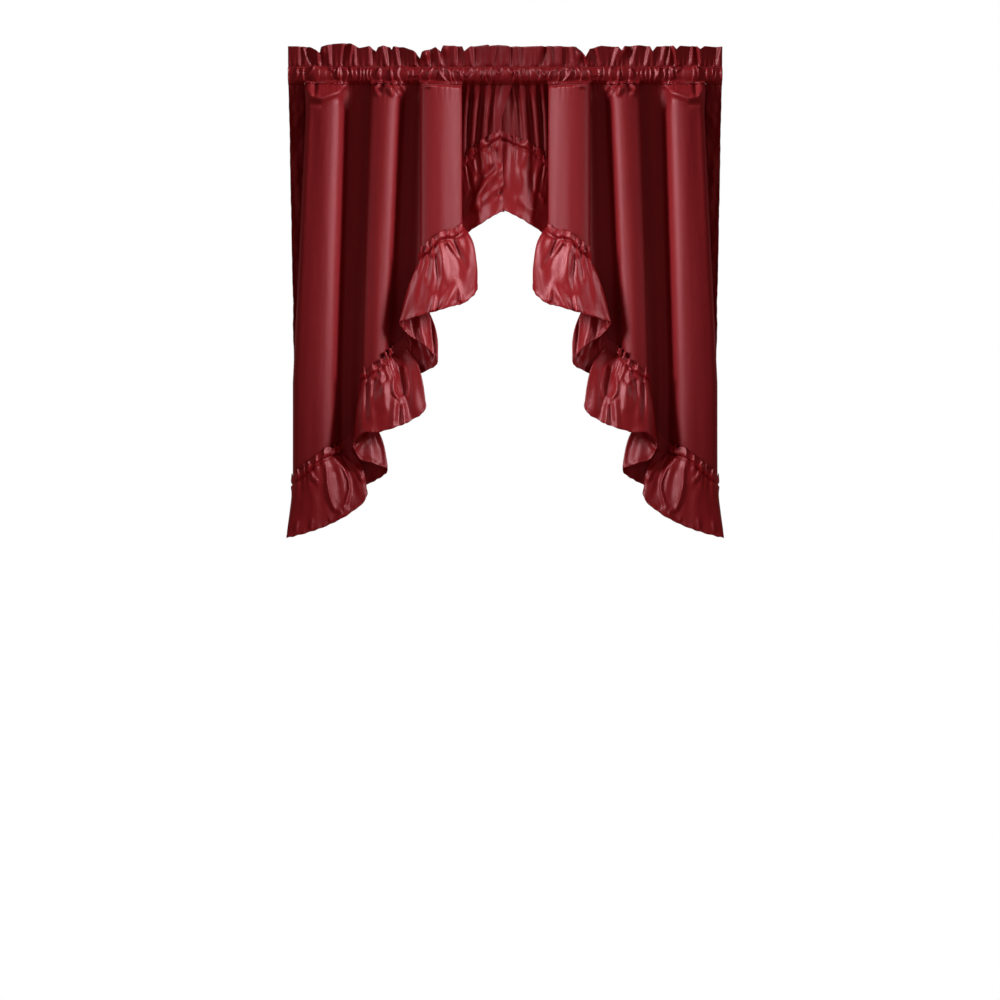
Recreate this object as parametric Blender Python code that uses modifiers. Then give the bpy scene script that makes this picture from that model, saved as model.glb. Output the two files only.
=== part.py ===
"""Swag and tail drape: a pair of gathered satin panels that hang from one rod.

Each panel is long at its outer edge and cut up to an arch at the centre. A gathered ruffle is
sewn along that rising edge and falls in three shells, one under each deep fold of the panel. A
rod pocket and a standing heading run along the top.

Directions: +X is to the right, +Z is up and -Y is towards the room. The origin is on the axis of
the rod, halfway between the two outer edges. Sizes are in millimetres until a point is placed.
"""

import math

import bmesh
import bpy
import numpy as np

MM = 0.001
COLLECTION = "swag_and_tail_drape"

# Cloth
CLOTH = 1.5            # thickness of one hanging sheet with its hems
HEADING_CLOTH = 2.4    # the heading is the same cloth folded double
SEWN_GAP = 0.6         # daylight between two pieces that are sewn together
SATIN = (0.19, 0.012, 0.018, 1.0)

# Width and the rod
HALF_WIDTH = 423.0     # from the centre line to an outer edge
POCKET_HEIGHT = 34.0
POCKET_DEPTH = 25.0
POCKET_CORNER = 0.42   # share of a half side that is left flat between two corners
POCKET_GATHER = 0.7    # how far the gathers stand in and out
POCKET_STEP = 14.0     # from one gather to the next in this coarse form
POCKET_BUTT = 109.0    # where the left pocket ends and the right one starts, right of centre
BUTT_GAP = 0.8

# Heading
HEADING_TOP = 61.0     # above the rod's axis
HEADING_STEP = 6.0
HEADING_WAVE = 25.0    # length of one wave of the standing ruffle
HEADING_SWAY = 5.0     # how far it waves forwards and back at its top
HEADING_ROWS = ((0.0, 0.35), (0.5, 0.7), (1.0, 1.0))   # share of the height, share of the sway
HEADING_TWIST = 0.5    # how far a wave turns between the bottom and the top, in radians
NOTCH_WIDTH = 7.0

# Panel
PANEL_TOP = 18.35      # drop of the panel's upper edge below the rod's axis
VALLEY_DEPTH = 8.0     # how far the valleys lie behind the rod's axis
LEAN_END = 0.60        # the folds lean outwards down to this drop, in metres
GATHER_ROWS = ((0.0, 0.30), (14.0, 0.75), (38.0, 1.0))   # drop below the edge, share of the depth
BODY_ROWS = 5
PANEL_STEP = 17.0      # widest step between two columns of the panel
SEAM_TURNING = 6.0     # cloth of the panel that runs on behind the ruffle
HEADER = 13.0          # the ruffle's own small heading above its stitches
HEADER_LIFT = 5.0      # how far that heading stands off the panel
LOW_LIFT = 0.45        # every other crinkle of it stands off by this share
CENTRE_LIFT = 0.25     # and past the recess it stands off by this share
RUFFLE_STEP = 14.0     # step between two columns of the ruffle, along its hem
HEM_SAMPLES = 13       # points that measure the hem from one panel column to the next
RUFFLE_ROWS = (0.16, 0.40, 0.70, 1.0)
STEEP = ((1.64, 2.02), (2.64, 3.02), (3.58, 4.0))   # places where the header lies flat

# A place across the cloth is counted in folds: 1 is the outer edge of the first fold, 1.6 its
# inner foot, 2 the outer edge of the second fold, and so on to 4, where the recess starts.
FOOT = 0.6
RECESS_START = 4.0
CENTRE = 5.0
# name, outer edge and inner foot from the centre, what each leans outwards per metre, depth
FOLDS = (
    ("first", 384.0, 310.0, 48.0, 28.0, 36.0),
    ("second", 262.0, 198.0, 30.0, 52.0, 34.0),
    ("third", 166.0, 85.0, 2.0, -3.0, 43.0),
)
# share of the way from a fold's outer edge to its inner foot, share of its depth
FOLD_PROFILE = (
    (0.00, 0.40), (0.04, 0.84), (0.20, 0.93), (0.42, 1.00), (0.62, 0.98), (0.78, 0.86),
    (0.90, 0.60), (1.00, 0.20),
)
# share of the way from a fold's foot to the next fold's place, share of the way across the valley
# (above 1 the cloth runs on behind the next fold's edge), share of the next fold's depth
VALLEY_PATH = (
    (0.15, 0.12, 0.0), (0.45, 0.52, 0.0), (0.72, 0.95, 0.0), (0.86, 1.10, 0.10), (0.94, 1.09, 0.28),
)
# place, from the centre, lean outwards per metre, depth (back of the rod's axis is positive)
RETURN_STRIP = (
    (0.0, 423.0, -20.0, 2.0), (0.4, 400.0, -16.0, 9.0), (0.7, 378.0, -10.0, 15.0),
    (0.8, 374.0, -10.0, 8.0), (0.9, 380.0, 30.0, -3.0),
)
# place, from the centre, lean outwards per metre, depth
RECESS = (
    (3.66, 87.0, 0.0, 3.0), (3.73, 97.0, 0.0, 9.0), (3.80, 107.0, 0.0, 15.0),
    (3.86, 104.0, 20.0, 24.0), (3.93, 91.0, 40.0, 28.0), (4.00, 79.0, 60.0, 26.0),
    (4.13, 69.0, 60.0, 18.0), (4.26, 62.0, 70.0, 22.0), (4.39, 54.0, 80.0, 14.0),
    (4.52, 46.0, 80.0, 19.0), (4.67, 34.0, 70.0, 11.0), (4.80, 23.0, 50.0, 14.0),
    (4.91, 14.0, 20.0, 8.0), (5.00, 7.0, 0.0, 9.0),
)
# place, drop of the ruffle's stitch line below the rod's axis
SEAM = (
    (0.0, 786.0), (0.7, 792.0), (1.0, 798.0), (1.15, 782.0), (1.40, 750.0), (1.60, 737.0),
    (1.70, 729.0), (1.76, 720.0), (1.82, 698.0), (1.91, 652.0), (2.00, 606.0), (2.15, 590.0),
    (2.40, 574.0), (2.60, 546.0), (2.70, 537.0), (2.76, 527.0), (2.82, 490.0), (2.91, 430.0),
    (3.00, 374.0), (3.15, 346.0), (3.30, 325.0), (3.50, 318.0), (3.60, 306.0), (3.70, 282.0),
    (3.80, 250.0), (3.90, 216.0), (4.00, 190.0), (4.15, 174.0), (4.50, 154.0), (5.00, 121.0),
)
# The hem of the ruffle, from the outer end to the centre. Place on the seam that it falls from,
# then the hem's distance from the centre, its drop and its depth, and how far the cloth between
# seam and hem swells forwards and outwards.
HEM = (
    (1.00, 423.0, 901.0, -42.0, 5.0, 0.0),
    (1.12, 395.0, 894.0, -50.0, 10.0, 0.0),
    (1.35, 345.0, 877.0, -50.0, 14.0, 0.0),
    (1.57, 294.0, 848.0, -38.0, 9.0, -10.0),
    (1.72, 277.0, 825.0, -16.0, 10.0, -19.0),
    (1.755, 289.0, 813.0, -13.0, 1.0, -9.0),
    (1.79, 295.0, 804.0, -3.0, 0.0, 0.0),
    (1.83, 262.0, 794.0, 3.0, -1.0, 10.0),
    (1.87, 227.0, 770.0, -15.0, 2.0, -10.0),
    (1.915, 253.0, 757.0, -28.0, 2.0, 0.0),
    (1.955, 283.0, 746.0, -35.0, 2.0, 0.0),
    (1.99, 294.0, 722.0, -41.0, 3.0, 2.0),
    (2.06, 282.0, 703.0, -48.0, 7.0, 0.0),
    (2.25, 244.0, 696.0, -56.0, 14.0, 0.0),
    (2.47, 200.0, 682.0, -50.0, 13.0, -4.0),
    (2.64, 172.0, 669.0, -36.0, 5.0, -10.0),
    (2.74, 156.0, 654.0, -22.0, 10.0, -19.0),
    (2.775, 180.0, 634.0, -16.0, 0.0, -6.0),
    (2.805, 192.0, 606.0, -5.0, -2.0, 0.0),
    (2.835, 168.0, 583.0, 7.0, 0.0, -1.0),
    (2.865, 131.0, 562.0, -23.0, 5.0, 6.0),
    (2.90, 150.0, 532.0, -29.0, 2.0, 0.0),
    (2.94, 186.0, 507.0, -37.0, 2.0, 0.0),
    (2.98, 204.0, 487.0, -45.0, 5.0, 7.0),
    (3.05, 190.0, 479.0, -53.0, 9.0, 3.0),
    (3.22, 150.0, 467.0, -62.0, 16.0, 0.0),
    (3.42, 104.0, 453.0, -57.0, 16.0, 0.0),
    (3.55, 72.0, 440.0, -42.0, 10.0, -8.0),
    (3.62, 54.0, 418.0, -22.0, 8.0, -10.0),
    (3.71, 78.0, 382.0, -1.0, -1.0, -8.0),
    (3.80, 97.0, 348.0, 6.0, -3.0, 0.0),
    (3.88, 96.0, 324.0, 16.0, 2.0, 0.0),
    (4.00, 76.0, 308.0, 12.0, 3.0, 0.0),
    (4.50, 43.0, 287.0, -8.0, 10.0, 0.0),
    (4.80, 18.0, 271.0, -12.0, 14.0, 0.0),
    (5.00, 3.0, 264.0, -4.0, 9.0, 0.0),
)
BELLY_SKEW = 0.7       # below 1 the ruffle swells most nearer its stitches
SWELL = 0.45           # share of the table's swell that a shell takes up
FLARE = 1.5            # above 1 a shell swings forward most near its hem
SHELL_EDGE = 0.10      # places over which a shell's flare fades in beside a steep run

# The left panel laps over the right one at the centre.
# side, how far the inner edge runs over the centre at the top and low down, how far it lies back
LAPS = {"left": (27.0, 0.0, -3.0), "right": (22.0, 22.0, 8.0)}
LAP_START = 4.6
LAP_END_DROP = 82.0
SIDES = {"left": -1.0, "right": 1.0}

# Uneven top of the heading: from the centre (right is positive), how deep the notch is
NOTCHES = (
    (-363.0, 11.0), (-331.0, 4.0), (-285.0, 3.0), (-251.0, 14.0), (-205.0, 5.0), (-166.0, 23.0),
    (-117.0, 8.0), (-78.0, 13.0), (-28.0, 6.0), (60.0, 2.0), (158.0, 15.0), (225.0, 6.0),
    (289.0, 10.0), (335.0, 7.0), (380.0, 5.0),
)


def hermite(table, at):
    """Smooth value of every column of a table whose first column is the place."""
    rows = np.array(table, dtype=float)
    knots, values = rows[:, 0], rows[:, 1:]
    slopes = np.gradient(values, knots, axis=0)
    i = int(np.clip(np.searchsorted(knots, at, side="right") - 1, 0, len(knots) - 2))
    span = knots[i + 1] - knots[i]
    t = min(max((at - knots[i]) / span, 0.0), 1.0)
    return ((1 + 2 * t) * (1 - t) ** 2 * values[i] + t * (1 - t) ** 2 * span * slopes[i]
            + t * t * (3 - 2 * t) * values[i + 1] + t * t * (t - 1) * span * slopes[i + 1])


def blend(a, b, share):
    """Value a share of the way from a to b."""
    return a + (b - a) * share


def cross_section_table():
    """The panel's level section: place, distance from the centre, lean and depth."""
    rows = list(RETURN_STRIP)
    for number, (_, outer, inner, outer_lean, inner_lean, depth) in enumerate(FOLDS, start=1):
        for share, rise in FOLD_PROFILE:
            rows.append((number + FOOT * share, blend(outer, inner, share),
                         blend(outer_lean, inner_lean, share),
                         VALLEY_DEPTH - rise * (VALLEY_DEPTH + depth)))
        if number < len(FOLDS):
            next_outer, next_lean, next_depth = (FOLDS[number][column] for column in (1, 3, 5))
            for share, across, rise in VALLEY_PATH:
                rows.append((number + blend(FOOT, 1.0, share), blend(inner, next_outer, across),
                             blend(inner_lean, next_lean, min(across, 1.0)),
                             VALLEY_DEPTH - rise * (VALLEY_DEPTH + next_depth)))
    return rows + list(RECESS)


CROSS_SECTION = cross_section_table()


def lap(side, place, drop):
    """How far the centre end runs over the middle, and how far it lies back, on this side."""
    top, low, back = LAPS[side]
    share = max(0.0, (place - LAP_START) / (CENTRE - LAP_START))
    return share * blend(top, low, min(drop / LAP_END_DROP, 1.0)), share * back


def panel_point(side, place, drop):
    """Middle of the panel's cloth, as distance from the centre, depth and drop."""
    out, lean, depth = hermite(CROSS_SECTION, place)
    out += lean * min(drop * MM, LEAN_END)
    gathered = np.interp(drop - PANEL_TOP, *zip(*GATHER_ROWS))
    over, back = lap(side, place, drop)
    return np.array((out - over, depth * gathered + back, drop))


def faces(side, places, drop_of):
    """How far to move at each panel column to stand one millimetre off its two flat faces."""
    points = [panel_point(side, place, drop_of(place)) for place in places]
    level = []
    for before, after in zip(points, points[1:]):
        along = after - before
        level.append(np.array((-along[1], along[0], 0.0)) / math.hypot(along[0], along[1]))
    level = [level[0]] + level + [level[-1]]
    moves = []
    for before, after in zip(level, level[1:]):
        middle = (before + after) / np.linalg.norm(before + after)
        moves.append(middle / max(float(middle @ before), 0.5))
    return moves


def world(side, point):
    """Distance from the centre, depth and drop in millimetres to metres in the part's frame."""
    return (SIDES[side] * point[0] * MM, point[1] * MM, -point[2] * MM)


def panel_columns():
    """Places of the panel's columns, closer together where the cloth turns."""
    rows = CROSS_SECTION
    places = [rows[0][0]]
    for (a, out_a, _, depth_a), (b, out_b, _, depth_b) in zip(rows, rows[1:]):
        parts = max(1, round(math.hypot(out_b - out_a, depth_b - depth_a) / PANEL_STEP))
        places += [blend(a, b, (i + 1) / parts) for i in range(parts)]
    return places


def panel_drops(place):
    """Drops of the panel's rows at one place across it."""
    seam = hermite(SEAM, place)[0]
    last = seam - HEADER
    drops = [PANEL_TOP + row[0] for row in GATHER_ROWS]
    drops += [blend(drops[-1], last, (i + 1) / BODY_ROWS) for i in range(BODY_ROWS)]
    return drops + [seam + SEAM_TURNING]


def ruffle_columns():
    """Which panel column each ruffle column follows, and how far it lies towards the next."""
    places = panel_columns()
    first = next(i for i, place in enumerate(places) if place >= HEM[0][0])
    columns = []
    for i in range(first, len(places) - 1):
        between = np.linspace(places[i], places[i + 1], HEM_SAMPLES)
        steps = [hermite(HEM, at)[:3] for at in between]
        travel = sum(np.linalg.norm(b - a) for a, b in zip(steps, steps[1:]))
        parts = max(1, round(travel / RUFFLE_STEP))
        columns += [(i, step / parts) for step in range(parts)]
    return columns + [(len(places) - 2, 1.0)]


def clamp(x):
    """The nearest number from 0 to 1."""
    return min(1.0, max(0.0, x))


def shell_share(place):
    """1 on the shells and 0 where the stitch line is steep, with soft changes."""
    return min(clamp(max(start - place, place - end) / SHELL_EDGE) for start, end in STEEP)


def ruffle_column(side, places, moves, follows, share, crinkle):
    """Points of one column of the ruffle, from its header's edge down to its hem."""
    edges = []
    for i in (follows, follows + 1):
        seam = hermite(SEAM, places[i])[0]
        edges.append((panel_point(side, places[i], seam - HEADER),
                      panel_point(side, places[i], seam + SEAM_TURNING), moves[i]))
    upper, lower, move = (blend(near, far, share) for near, far in zip(*edges))
    place = blend(places[follows], places[follows + 1], share)
    off = CLOTH + SEWN_GAP
    steep = any(start < place < end for start, end in STEEP)
    lift = 0.0 if steep else HEADER_LIFT * (CENTRE_LIFT if place > RECESS_START else 1.0)
    header = upper + move * (off + lift * (1.0 if crinkle else LOW_LIFT))
    stitch = blend(upper, lower, HEADER / (HEADER + SEAM_TURNING)) + move * off
    out, drop, depth, belly, swing = hermite(HEM, place)
    over, back = lap(side, place, LAP_END_DROP)
    hem = np.array((out - over, depth + back, drop))
    shell = shell_share(place)
    flare, swell = blend(1.0, FLARE, shell), blend(1.0, SWELL, shell) * belly
    points = [header, stitch]
    for share_down in RUFFLE_ROWS:
        point = blend(stitch, hem, share_down)
        point[0] += swing * math.sin(math.pi * share_down)
        point[1] = (blend(stitch[1], hem[1], share_down ** flare)
                    - swell * math.sin(math.pi * share_down ** BELLY_SKEW))
        points.append(point)
    return points


def new_sheet(name, columns, thickness):
    """A sheet of cloth: a grid moved onto the columns' points, given its thickness."""
    wide, high = len(columns), len(columns[0])
    bpy.ops.mesh.primitive_grid_add(x_subdivisions=wide - 1, y_subdivisions=high - 1, size=1.0)
    sheet = bpy.context.object
    sheet.name = name
    for index, vertex in enumerate(sheet.data.vertices):
        row, column = divmod(index, wide)
        vertex.co = columns[column][row]
    solid = sheet.modifiers.new("cloth", "SOLIDIFY")
    solid.thickness = thickness * MM
    solid.offset = 0.0
    return finish(sheet)


def finish(piece):
    """Smooth shading, and the piece's own satin."""
    piece.data.shade_smooth()
    satin = bpy.data.materials.new(piece.name + "_satin")
    satin.use_nodes = True
    shader = satin.node_tree.nodes["Principled BSDF"]
    shader.inputs["Base Color"].default_value = SATIN
    shader.inputs["Roughness"].default_value = 0.42
    shader.inputs["Metallic"].default_value = 0.0
    piece.data.materials.append(satin)
    return piece


def make_panel(side):
    """The hanging panel with its three deep folds, its return and its gathered centre."""
    columns = [[world(side, panel_point(side, place, drop)) for drop in panel_drops(place)]
               for place in panel_columns()]
    return new_sheet(side + "_panel", columns, CLOTH)


def make_ruffle(side):
    """The ruffle that winds along the panel's lower edge in three shells."""
    places = panel_columns()
    moves = faces(side, places, lambda place: hermite(SEAM, place)[0])
    columns = []
    for number, (follows, share) in enumerate(ruffle_columns()):
        points = ruffle_column(side, places, moves, follows, share, number % 2)
        columns.append([world(side, point) for point in points])
    return new_sheet(side + "_ruffle", columns, CLOTH)


def pocket_ends(side):
    """Where the pocket and the heading of this side start and end, left to right."""
    if side == "left":
        return -HALF_WIDTH, POCKET_BUTT - BUTT_GAP / 2
    return POCKET_BUTT + BUTT_GAP / 2, HALF_WIDTH


def make_rod_pocket(side):
    """The empty channel for the rod: an eight-sided sleeve with gathers along it."""
    start, end = pocket_ends(side)
    gathers = round((end - start) / POCKET_STEP)
    half_depth, half_height = (POCKET_DEPTH - CLOTH) / 2, (POCKET_HEIGHT - CLOTH) / 2
    ring = [(half_depth, half_height * POCKET_CORNER), (half_depth * POCKET_CORNER, half_height)]
    ring += [(-y, z) for y, z in reversed(ring)]
    ring += [(-y, -z) for y, z in ring]
    ring.append(ring[0])
    columns = []
    for number in range(gathers + 1):
        x = blend(start, end, number / gathers)
        grow = 1.0 + (POCKET_GATHER if number % 2 else -POCKET_GATHER) / half_height
        columns.append([(x * MM, y * grow * MM, z * grow * MM) for y, z in ring])
    pocket = new_sheet(side + "_rod_pocket", columns, CLOTH)
    mesh = bmesh.new()
    mesh.from_mesh(pocket.data)
    bmesh.ops.remove_doubles(mesh, verts=mesh.verts, dist=0.01 * MM)
    mesh.to_mesh(pocket.data)
    mesh.free()
    return pocket


def heading_top(x):
    """Height of the heading's uneven upper edge at x."""
    height = HEADING_TOP + 1.4 * math.sin(x / 37.0) + 0.8 * math.sin(x / 13.0 + 1.0)
    for middle, depth in NOTCHES:
        height -= depth * math.exp(-((x - middle) / NOTCH_WIDTH) ** 2)
    return height


def make_heading(side):
    """The ruffled heading that stands above the pocket, in uneven waves."""
    start, end = pocket_ends(side)
    parts = round((end - start) / HEADING_STEP)
    bottom = POCKET_HEIGHT / 2 + POCKET_GATHER + SEWN_GAP
    columns = []
    for number in range(parts + 1):
        x = blend(start, end, number / parts)
        turn = 2.0 * math.pi * x / HEADING_WAVE + 1.3 * math.sin(x / 53.0)
        top = heading_top(x)
        column = []
        for share, sway in HEADING_ROWS:
            y = HEADING_SWAY * sway * math.sin(turn + HEADING_TWIST * share)
            column.append((x * MM, y * MM, blend(bottom, top, share) * MM))
        columns.append(column)
    return new_sheet(side + "_heading", columns, HEADING_CLOTH)


def main():
    for old in list(bpy.data.objects):
        bpy.data.objects.remove(old, do_unlink=True)
    drape = bpy.data.collections.new(COLLECTION)
    bpy.context.scene.collection.children.link(drape)
    for side in SIDES:
        for make in (make_panel, make_ruffle, make_rod_pocket, make_heading):
            piece = make(side)
            for holder in list(piece.users_collection):
                holder.objects.unlink(piece)
            drape.objects.link(piece)


main()
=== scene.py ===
# %% [markdown]
# # A swag and tail drape in red satin
#
# Two gathered panels hang from one rod. Each is long at its outer edge and is cut up to an arch at
# the centre, and a gathered ruffle runs along that rising edge and falls in three shells. We start
# by loading the plain solids of the drape, because every fine piece has to lie where its solid
# lies.

import math

import bpy
import numpy as np
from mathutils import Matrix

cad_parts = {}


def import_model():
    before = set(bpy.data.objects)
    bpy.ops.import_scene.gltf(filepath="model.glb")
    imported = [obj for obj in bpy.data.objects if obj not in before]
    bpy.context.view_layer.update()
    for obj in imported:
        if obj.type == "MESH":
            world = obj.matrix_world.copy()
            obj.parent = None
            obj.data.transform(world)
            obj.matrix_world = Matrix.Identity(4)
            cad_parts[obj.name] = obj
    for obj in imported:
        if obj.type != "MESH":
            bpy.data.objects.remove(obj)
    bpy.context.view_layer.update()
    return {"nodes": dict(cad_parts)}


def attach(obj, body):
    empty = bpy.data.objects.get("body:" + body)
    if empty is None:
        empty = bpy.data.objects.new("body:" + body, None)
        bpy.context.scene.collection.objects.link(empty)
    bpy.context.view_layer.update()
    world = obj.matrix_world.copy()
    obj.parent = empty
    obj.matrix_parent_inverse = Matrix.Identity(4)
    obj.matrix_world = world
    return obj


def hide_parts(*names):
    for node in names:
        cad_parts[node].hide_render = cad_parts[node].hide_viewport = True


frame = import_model()
MM = 0.001
SIDES = {"left": -1.0, "right": 1.0}
scene = bpy.context.scene
print("plain pieces:", ", ".join(sorted(frame["nodes"])))

# %% [markdown]
# ## The camera
#
# A valance is best shown straight on and from far away, so that its edges stay straight. We could
# use an orthographic camera, but a long lens seven metres away keeps a little natural perspective.
# The lens follows from how wide a piece of wall the picture takes in.

# %% Camera
PICTURE_WIDTH = 1.95
CAMERA_AWAY = 7.0
PICTURE_CENTRE = (-0.010, -0.827)
SENSOR_MM = 36.0
FARTHEST_SEEN = 30.0

lens = bpy.data.cameras.new("camera")
lens.sensor_width = SENSOR_MM
lens.lens = SENSOR_MM * CAMERA_AWAY / PICTURE_WIDTH
lens.clip_end = FARTHEST_SEEN
camera = bpy.data.objects.new("camera", lens)
camera.location = (PICTURE_CENTRE[0], -CAMERA_AWAY, PICTURE_CENTRE[1])
camera.rotation_euler = (math.radians(90.0), 0.0, 0.0)
scene.collection.objects.link(camera)
scene.camera = camera
print(f"camera: {lens.lens:.0f} mm lens, {CAMERA_AWAY} m away")

# %% [markdown]
# ## The light
#
# Satin shows its folds by contrast: a fold glows where it leans towards the lamp and its far side
# falls into shade. Flat light from the front would wipe the folds out. So each half of the drape
# gets a tall soft lamp of its own, out to its side, with a grid that keeps it off the other half.
# A weak even light from all round keeps the deep parts from going black. From here on we build
# shader nodes, so a few short helpers come first.

# %% A short way to add shader nodes
def feed(tree, node, inputs):
    """Give a node its inputs: each is a value or an output of another node."""
    for name, value in inputs.items():
        if isinstance(value, bpy.types.NodeSocket):
            tree.links.new(value, node.inputs[name])
        else:
            node.inputs[name].default_value = value
    return node


def add(tree, kind, inputs=None):
    """A new shader node with its inputs."""
    return feed(tree, tree.nodes.new("ShaderNode" + kind), inputs or {})


def camera_sees(tree, lighting, shown, output):
    """Two shaders in one: the first lights the drape and the second is what the camera sees."""
    ray = add(tree, "LightPath")
    either = add(tree, "MixShader", {"Fac": ray.outputs["Is Camera Ray"],
                                     1: lighting.outputs[0], 2: shown.outputs[0]})
    feed(tree, output, {"Surface": either.outputs["Shader"]})


print("a node's inputs are values or outputs of other nodes")

# %% Lamps and surroundings
LAMP_PLACE = (0.62, -0.43, 0.12)
LAMP_AIM = (-0.70, 0.0, -0.46)
LAMP_SIZE = (0.20, 0.90)
LAMP_POWER = 1.68
LAMP_GRID = 44.0
LAMP_TINT = (1.0, 0.90, 0.98)
SURROUND = 0.26
SURROUND_TINT = (1.0, 0.36, 0.38, 1.0)
BACKDROP = (1.0, 1.0, 1.0, 1.0)


def soft_lamp(side):
    """The rectangular soft lamp of one side, pointing across at the drape."""
    light = bpy.data.lights.new(side + "_lamp", "AREA")
    light.shape = "RECTANGLE"
    light.size, light.size_y = LAMP_SIZE
    light.energy = LAMP_POWER
    light.color = LAMP_TINT
    light.spread = math.radians(LAMP_GRID)
    lamp = bpy.data.objects.new(side + "_lamp", light)
    mirror = np.array((SIDES[side], 1.0, 1.0))
    lamp.location = mirror * LAMP_PLACE
    direction = mirror * LAMP_AIM - mirror * LAMP_PLACE
    turn = math.atan2(direction[0], direction[1])
    tilt = math.atan2(direction[2], math.hypot(direction[0], direction[1]))
    lamp.rotation_euler = (math.radians(90.0) + tilt, 0.0, -turn)
    lamp.visible_camera = False
    scene.collection.objects.link(lamp)


for side in SIDES:
    soft_lamp(side)

studio = bpy.data.worlds.new("studio")
studio.use_nodes = True
scene.world = studio
tree = studio.node_tree
tree.nodes.clear()
lighting = add(tree, "Background", {"Color": SURROUND_TINT, "Strength": SURROUND})
shown = add(tree, "Background", {"Color": BACKDROP})
camera_sees(tree, lighting, shown, add(tree, "OutputWorld"))
scene.view_settings.view_transform = "Standard"
print(f"lamps: {len(SIDES)} of {LAMP_POWER:g} W, surroundings {SURROUND:g}")

# %% [markdown]
# ## The floor
#
# The drape hangs high above the floor. One pale plane, just below the picture, is enough. The
# camera sees it evenly pale, and only the drape gets its reflected light.

# %% Floor
FLOOR_Z = -2.02
FLOOR_LEFT, FLOOR_RIGHT, FLOOR_FRONT, FLOOR_BACK = -1.6, 1.6, -1.8, 0.55
PLASTER, PLASTER_ROUGHNESS = (0.86, 0.85, 0.84, 1.0), 0.8
FLOOR_AS_SEEN = (0.90, 0.90, 0.90, 1.0)

corners = [(FLOOR_LEFT, FLOOR_FRONT, FLOOR_Z), (FLOOR_RIGHT, FLOOR_FRONT, FLOOR_Z),
           (FLOOR_RIGHT, FLOOR_BACK, FLOOR_Z), (FLOOR_LEFT, FLOOR_BACK, FLOOR_Z)]
floor_mesh = bpy.data.meshes.new("floor")
floor_mesh.from_pydata(corners, [], [(0, 1, 2, 3)])
floor = bpy.data.objects.new("floor", floor_mesh)
scene.collection.objects.link(floor)
paint = bpy.data.materials.new("pale_floor")
paint.use_nodes = True
tree = paint.node_tree
plaster = feed(tree, tree.nodes["Principled BSDF"],
               {"Base Color": PLASTER, "Roughness": PLASTER_ROUGHNESS})
pale = add(tree, "Emission", {"Color": FLOOR_AS_SEEN})
camera_sees(tree, plaster, pale, tree.nodes["Material Output"])
floor_mesh.materials.append(paint)
print("floor at", FLOOR_Z, "m")

# %% [markdown]
# ## Satin: threads and crumple
#
# Satin is woven so that long threads float on its face, and light runs along them. Up close they
# are short bricks, laid in steps. Further off one sees faint lengthwise streaks and a soft crumple
# where the cloth was packed. Both effects are on every piece, so each is one node group, which we
# build once. They read the cloth's own UV map, in metres, so that they follow the folds.

# %% Node group: satin threads
def group_with(name, inputs, outputs):
    """An empty shader node group with its named sockets."""
    tree = bpy.data.node_groups.new(name, "ShaderNodeTree")
    for label, kind, value in inputs:
        socket = tree.interface.new_socket(label, in_out="INPUT", socket_type=kind)
        if value is not None:
            socket.default_value = value
    for label, kind in outputs:
        tree.interface.new_socket(label, in_out="OUTPUT", socket_type=kind)
    return tree, tree.nodes.new("NodeGroupInput"), tree.nodes.new("NodeGroupOutput")


def calculate(tree, operation, first, second):
    """A Math node; each side is a number or an output of another node."""
    node = add(tree, "Math", {0: first, 1: second})
    node.operation = operation
    return node.outputs["Value"]


def stretched(tree, vector, scale):
    """A vector scaled by a fixed amount each way."""
    return add(tree, "Mapping", {"Scale": scale, "Vector": vector}).outputs["Vector"]


def noise(tree, vector, scale, detail):
    """A Noise texture's value."""
    return add(tree, "TexNoise", {"Scale": scale, "Detail": detail, "Vector": vector}).outputs["Fac"]


FLOAT_LENGTH = 0.0016
FLOAT_WIDTH, FLOAT_GAP = 0.22, 0.05  # shares of a float's length
FLOAT_STEP = 0.4
HIGH_FLOAT, LOW_FLOAT, FLOAT_EDGE = (1.0, 1.0, 1.0, 1.0), (0.8, 0.8, 0.8, 1.0), (0.0, 0.0, 0.0, 1.0)
STREAK_STRETCH, STREAKS_PER_METRE = (1.0, 0.06, 1.0), 900.0


def thread_group():
    """Long floats laid in steps, with thick and thin places in the yarn."""
    tree, given, made = group_with(
        "satin_threads",
        [("Cloth", "NodeSocketVector", None), ("Float Length", "NodeSocketFloat", FLOAT_LENGTH)],
        [("Height", "NodeSocketFloat"), ("Streak", "NodeSocketFloat")])
    cloth, length = given.outputs["Cloth"], given.outputs["Float Length"]
    turned = add(tree, "Mapping", {"Rotation": (0.0, 0.0, math.radians(90.0)), "Vector": cloth})
    floats = add(tree, "TexBrick", {
        "Vector": turned.outputs["Vector"], "Scale": 1.0, "Mortar Smooth": 0.8,
        "Color1": HIGH_FLOAT, "Color2": LOW_FLOAT, "Mortar": FLOAT_EDGE,
        "Brick Width": length, "Row Height": calculate(tree, "MULTIPLY", length, FLOAT_WIDTH),
        "Mortar Size": calculate(tree, "MULTIPLY", length, FLOAT_GAP)})
    floats.offset = FLOAT_STEP
    floats.squash = 1.0
    streak = noise(tree, stretched(tree, cloth, STREAK_STRETCH), STREAKS_PER_METRE, 3.0)
    feed(tree, made, {"Height": floats.outputs["Color"], "Streak": streak})
    return tree


SATIN_THREADS = thread_group()
print("node group:", SATIN_THREADS.name)

# %% Node group: soft crumple
RIPPLE_STRETCH, RIPPLES_PER_METRE, RIPPLE_SHARE = (1.0, 0.16, 1.0), 95.0, 0.35
CREASE_STRETCH, CREASES_PER_METRE = (1.0, 0.55, 1.0), 34.0
TONES_PER_METRE = 11.0


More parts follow.
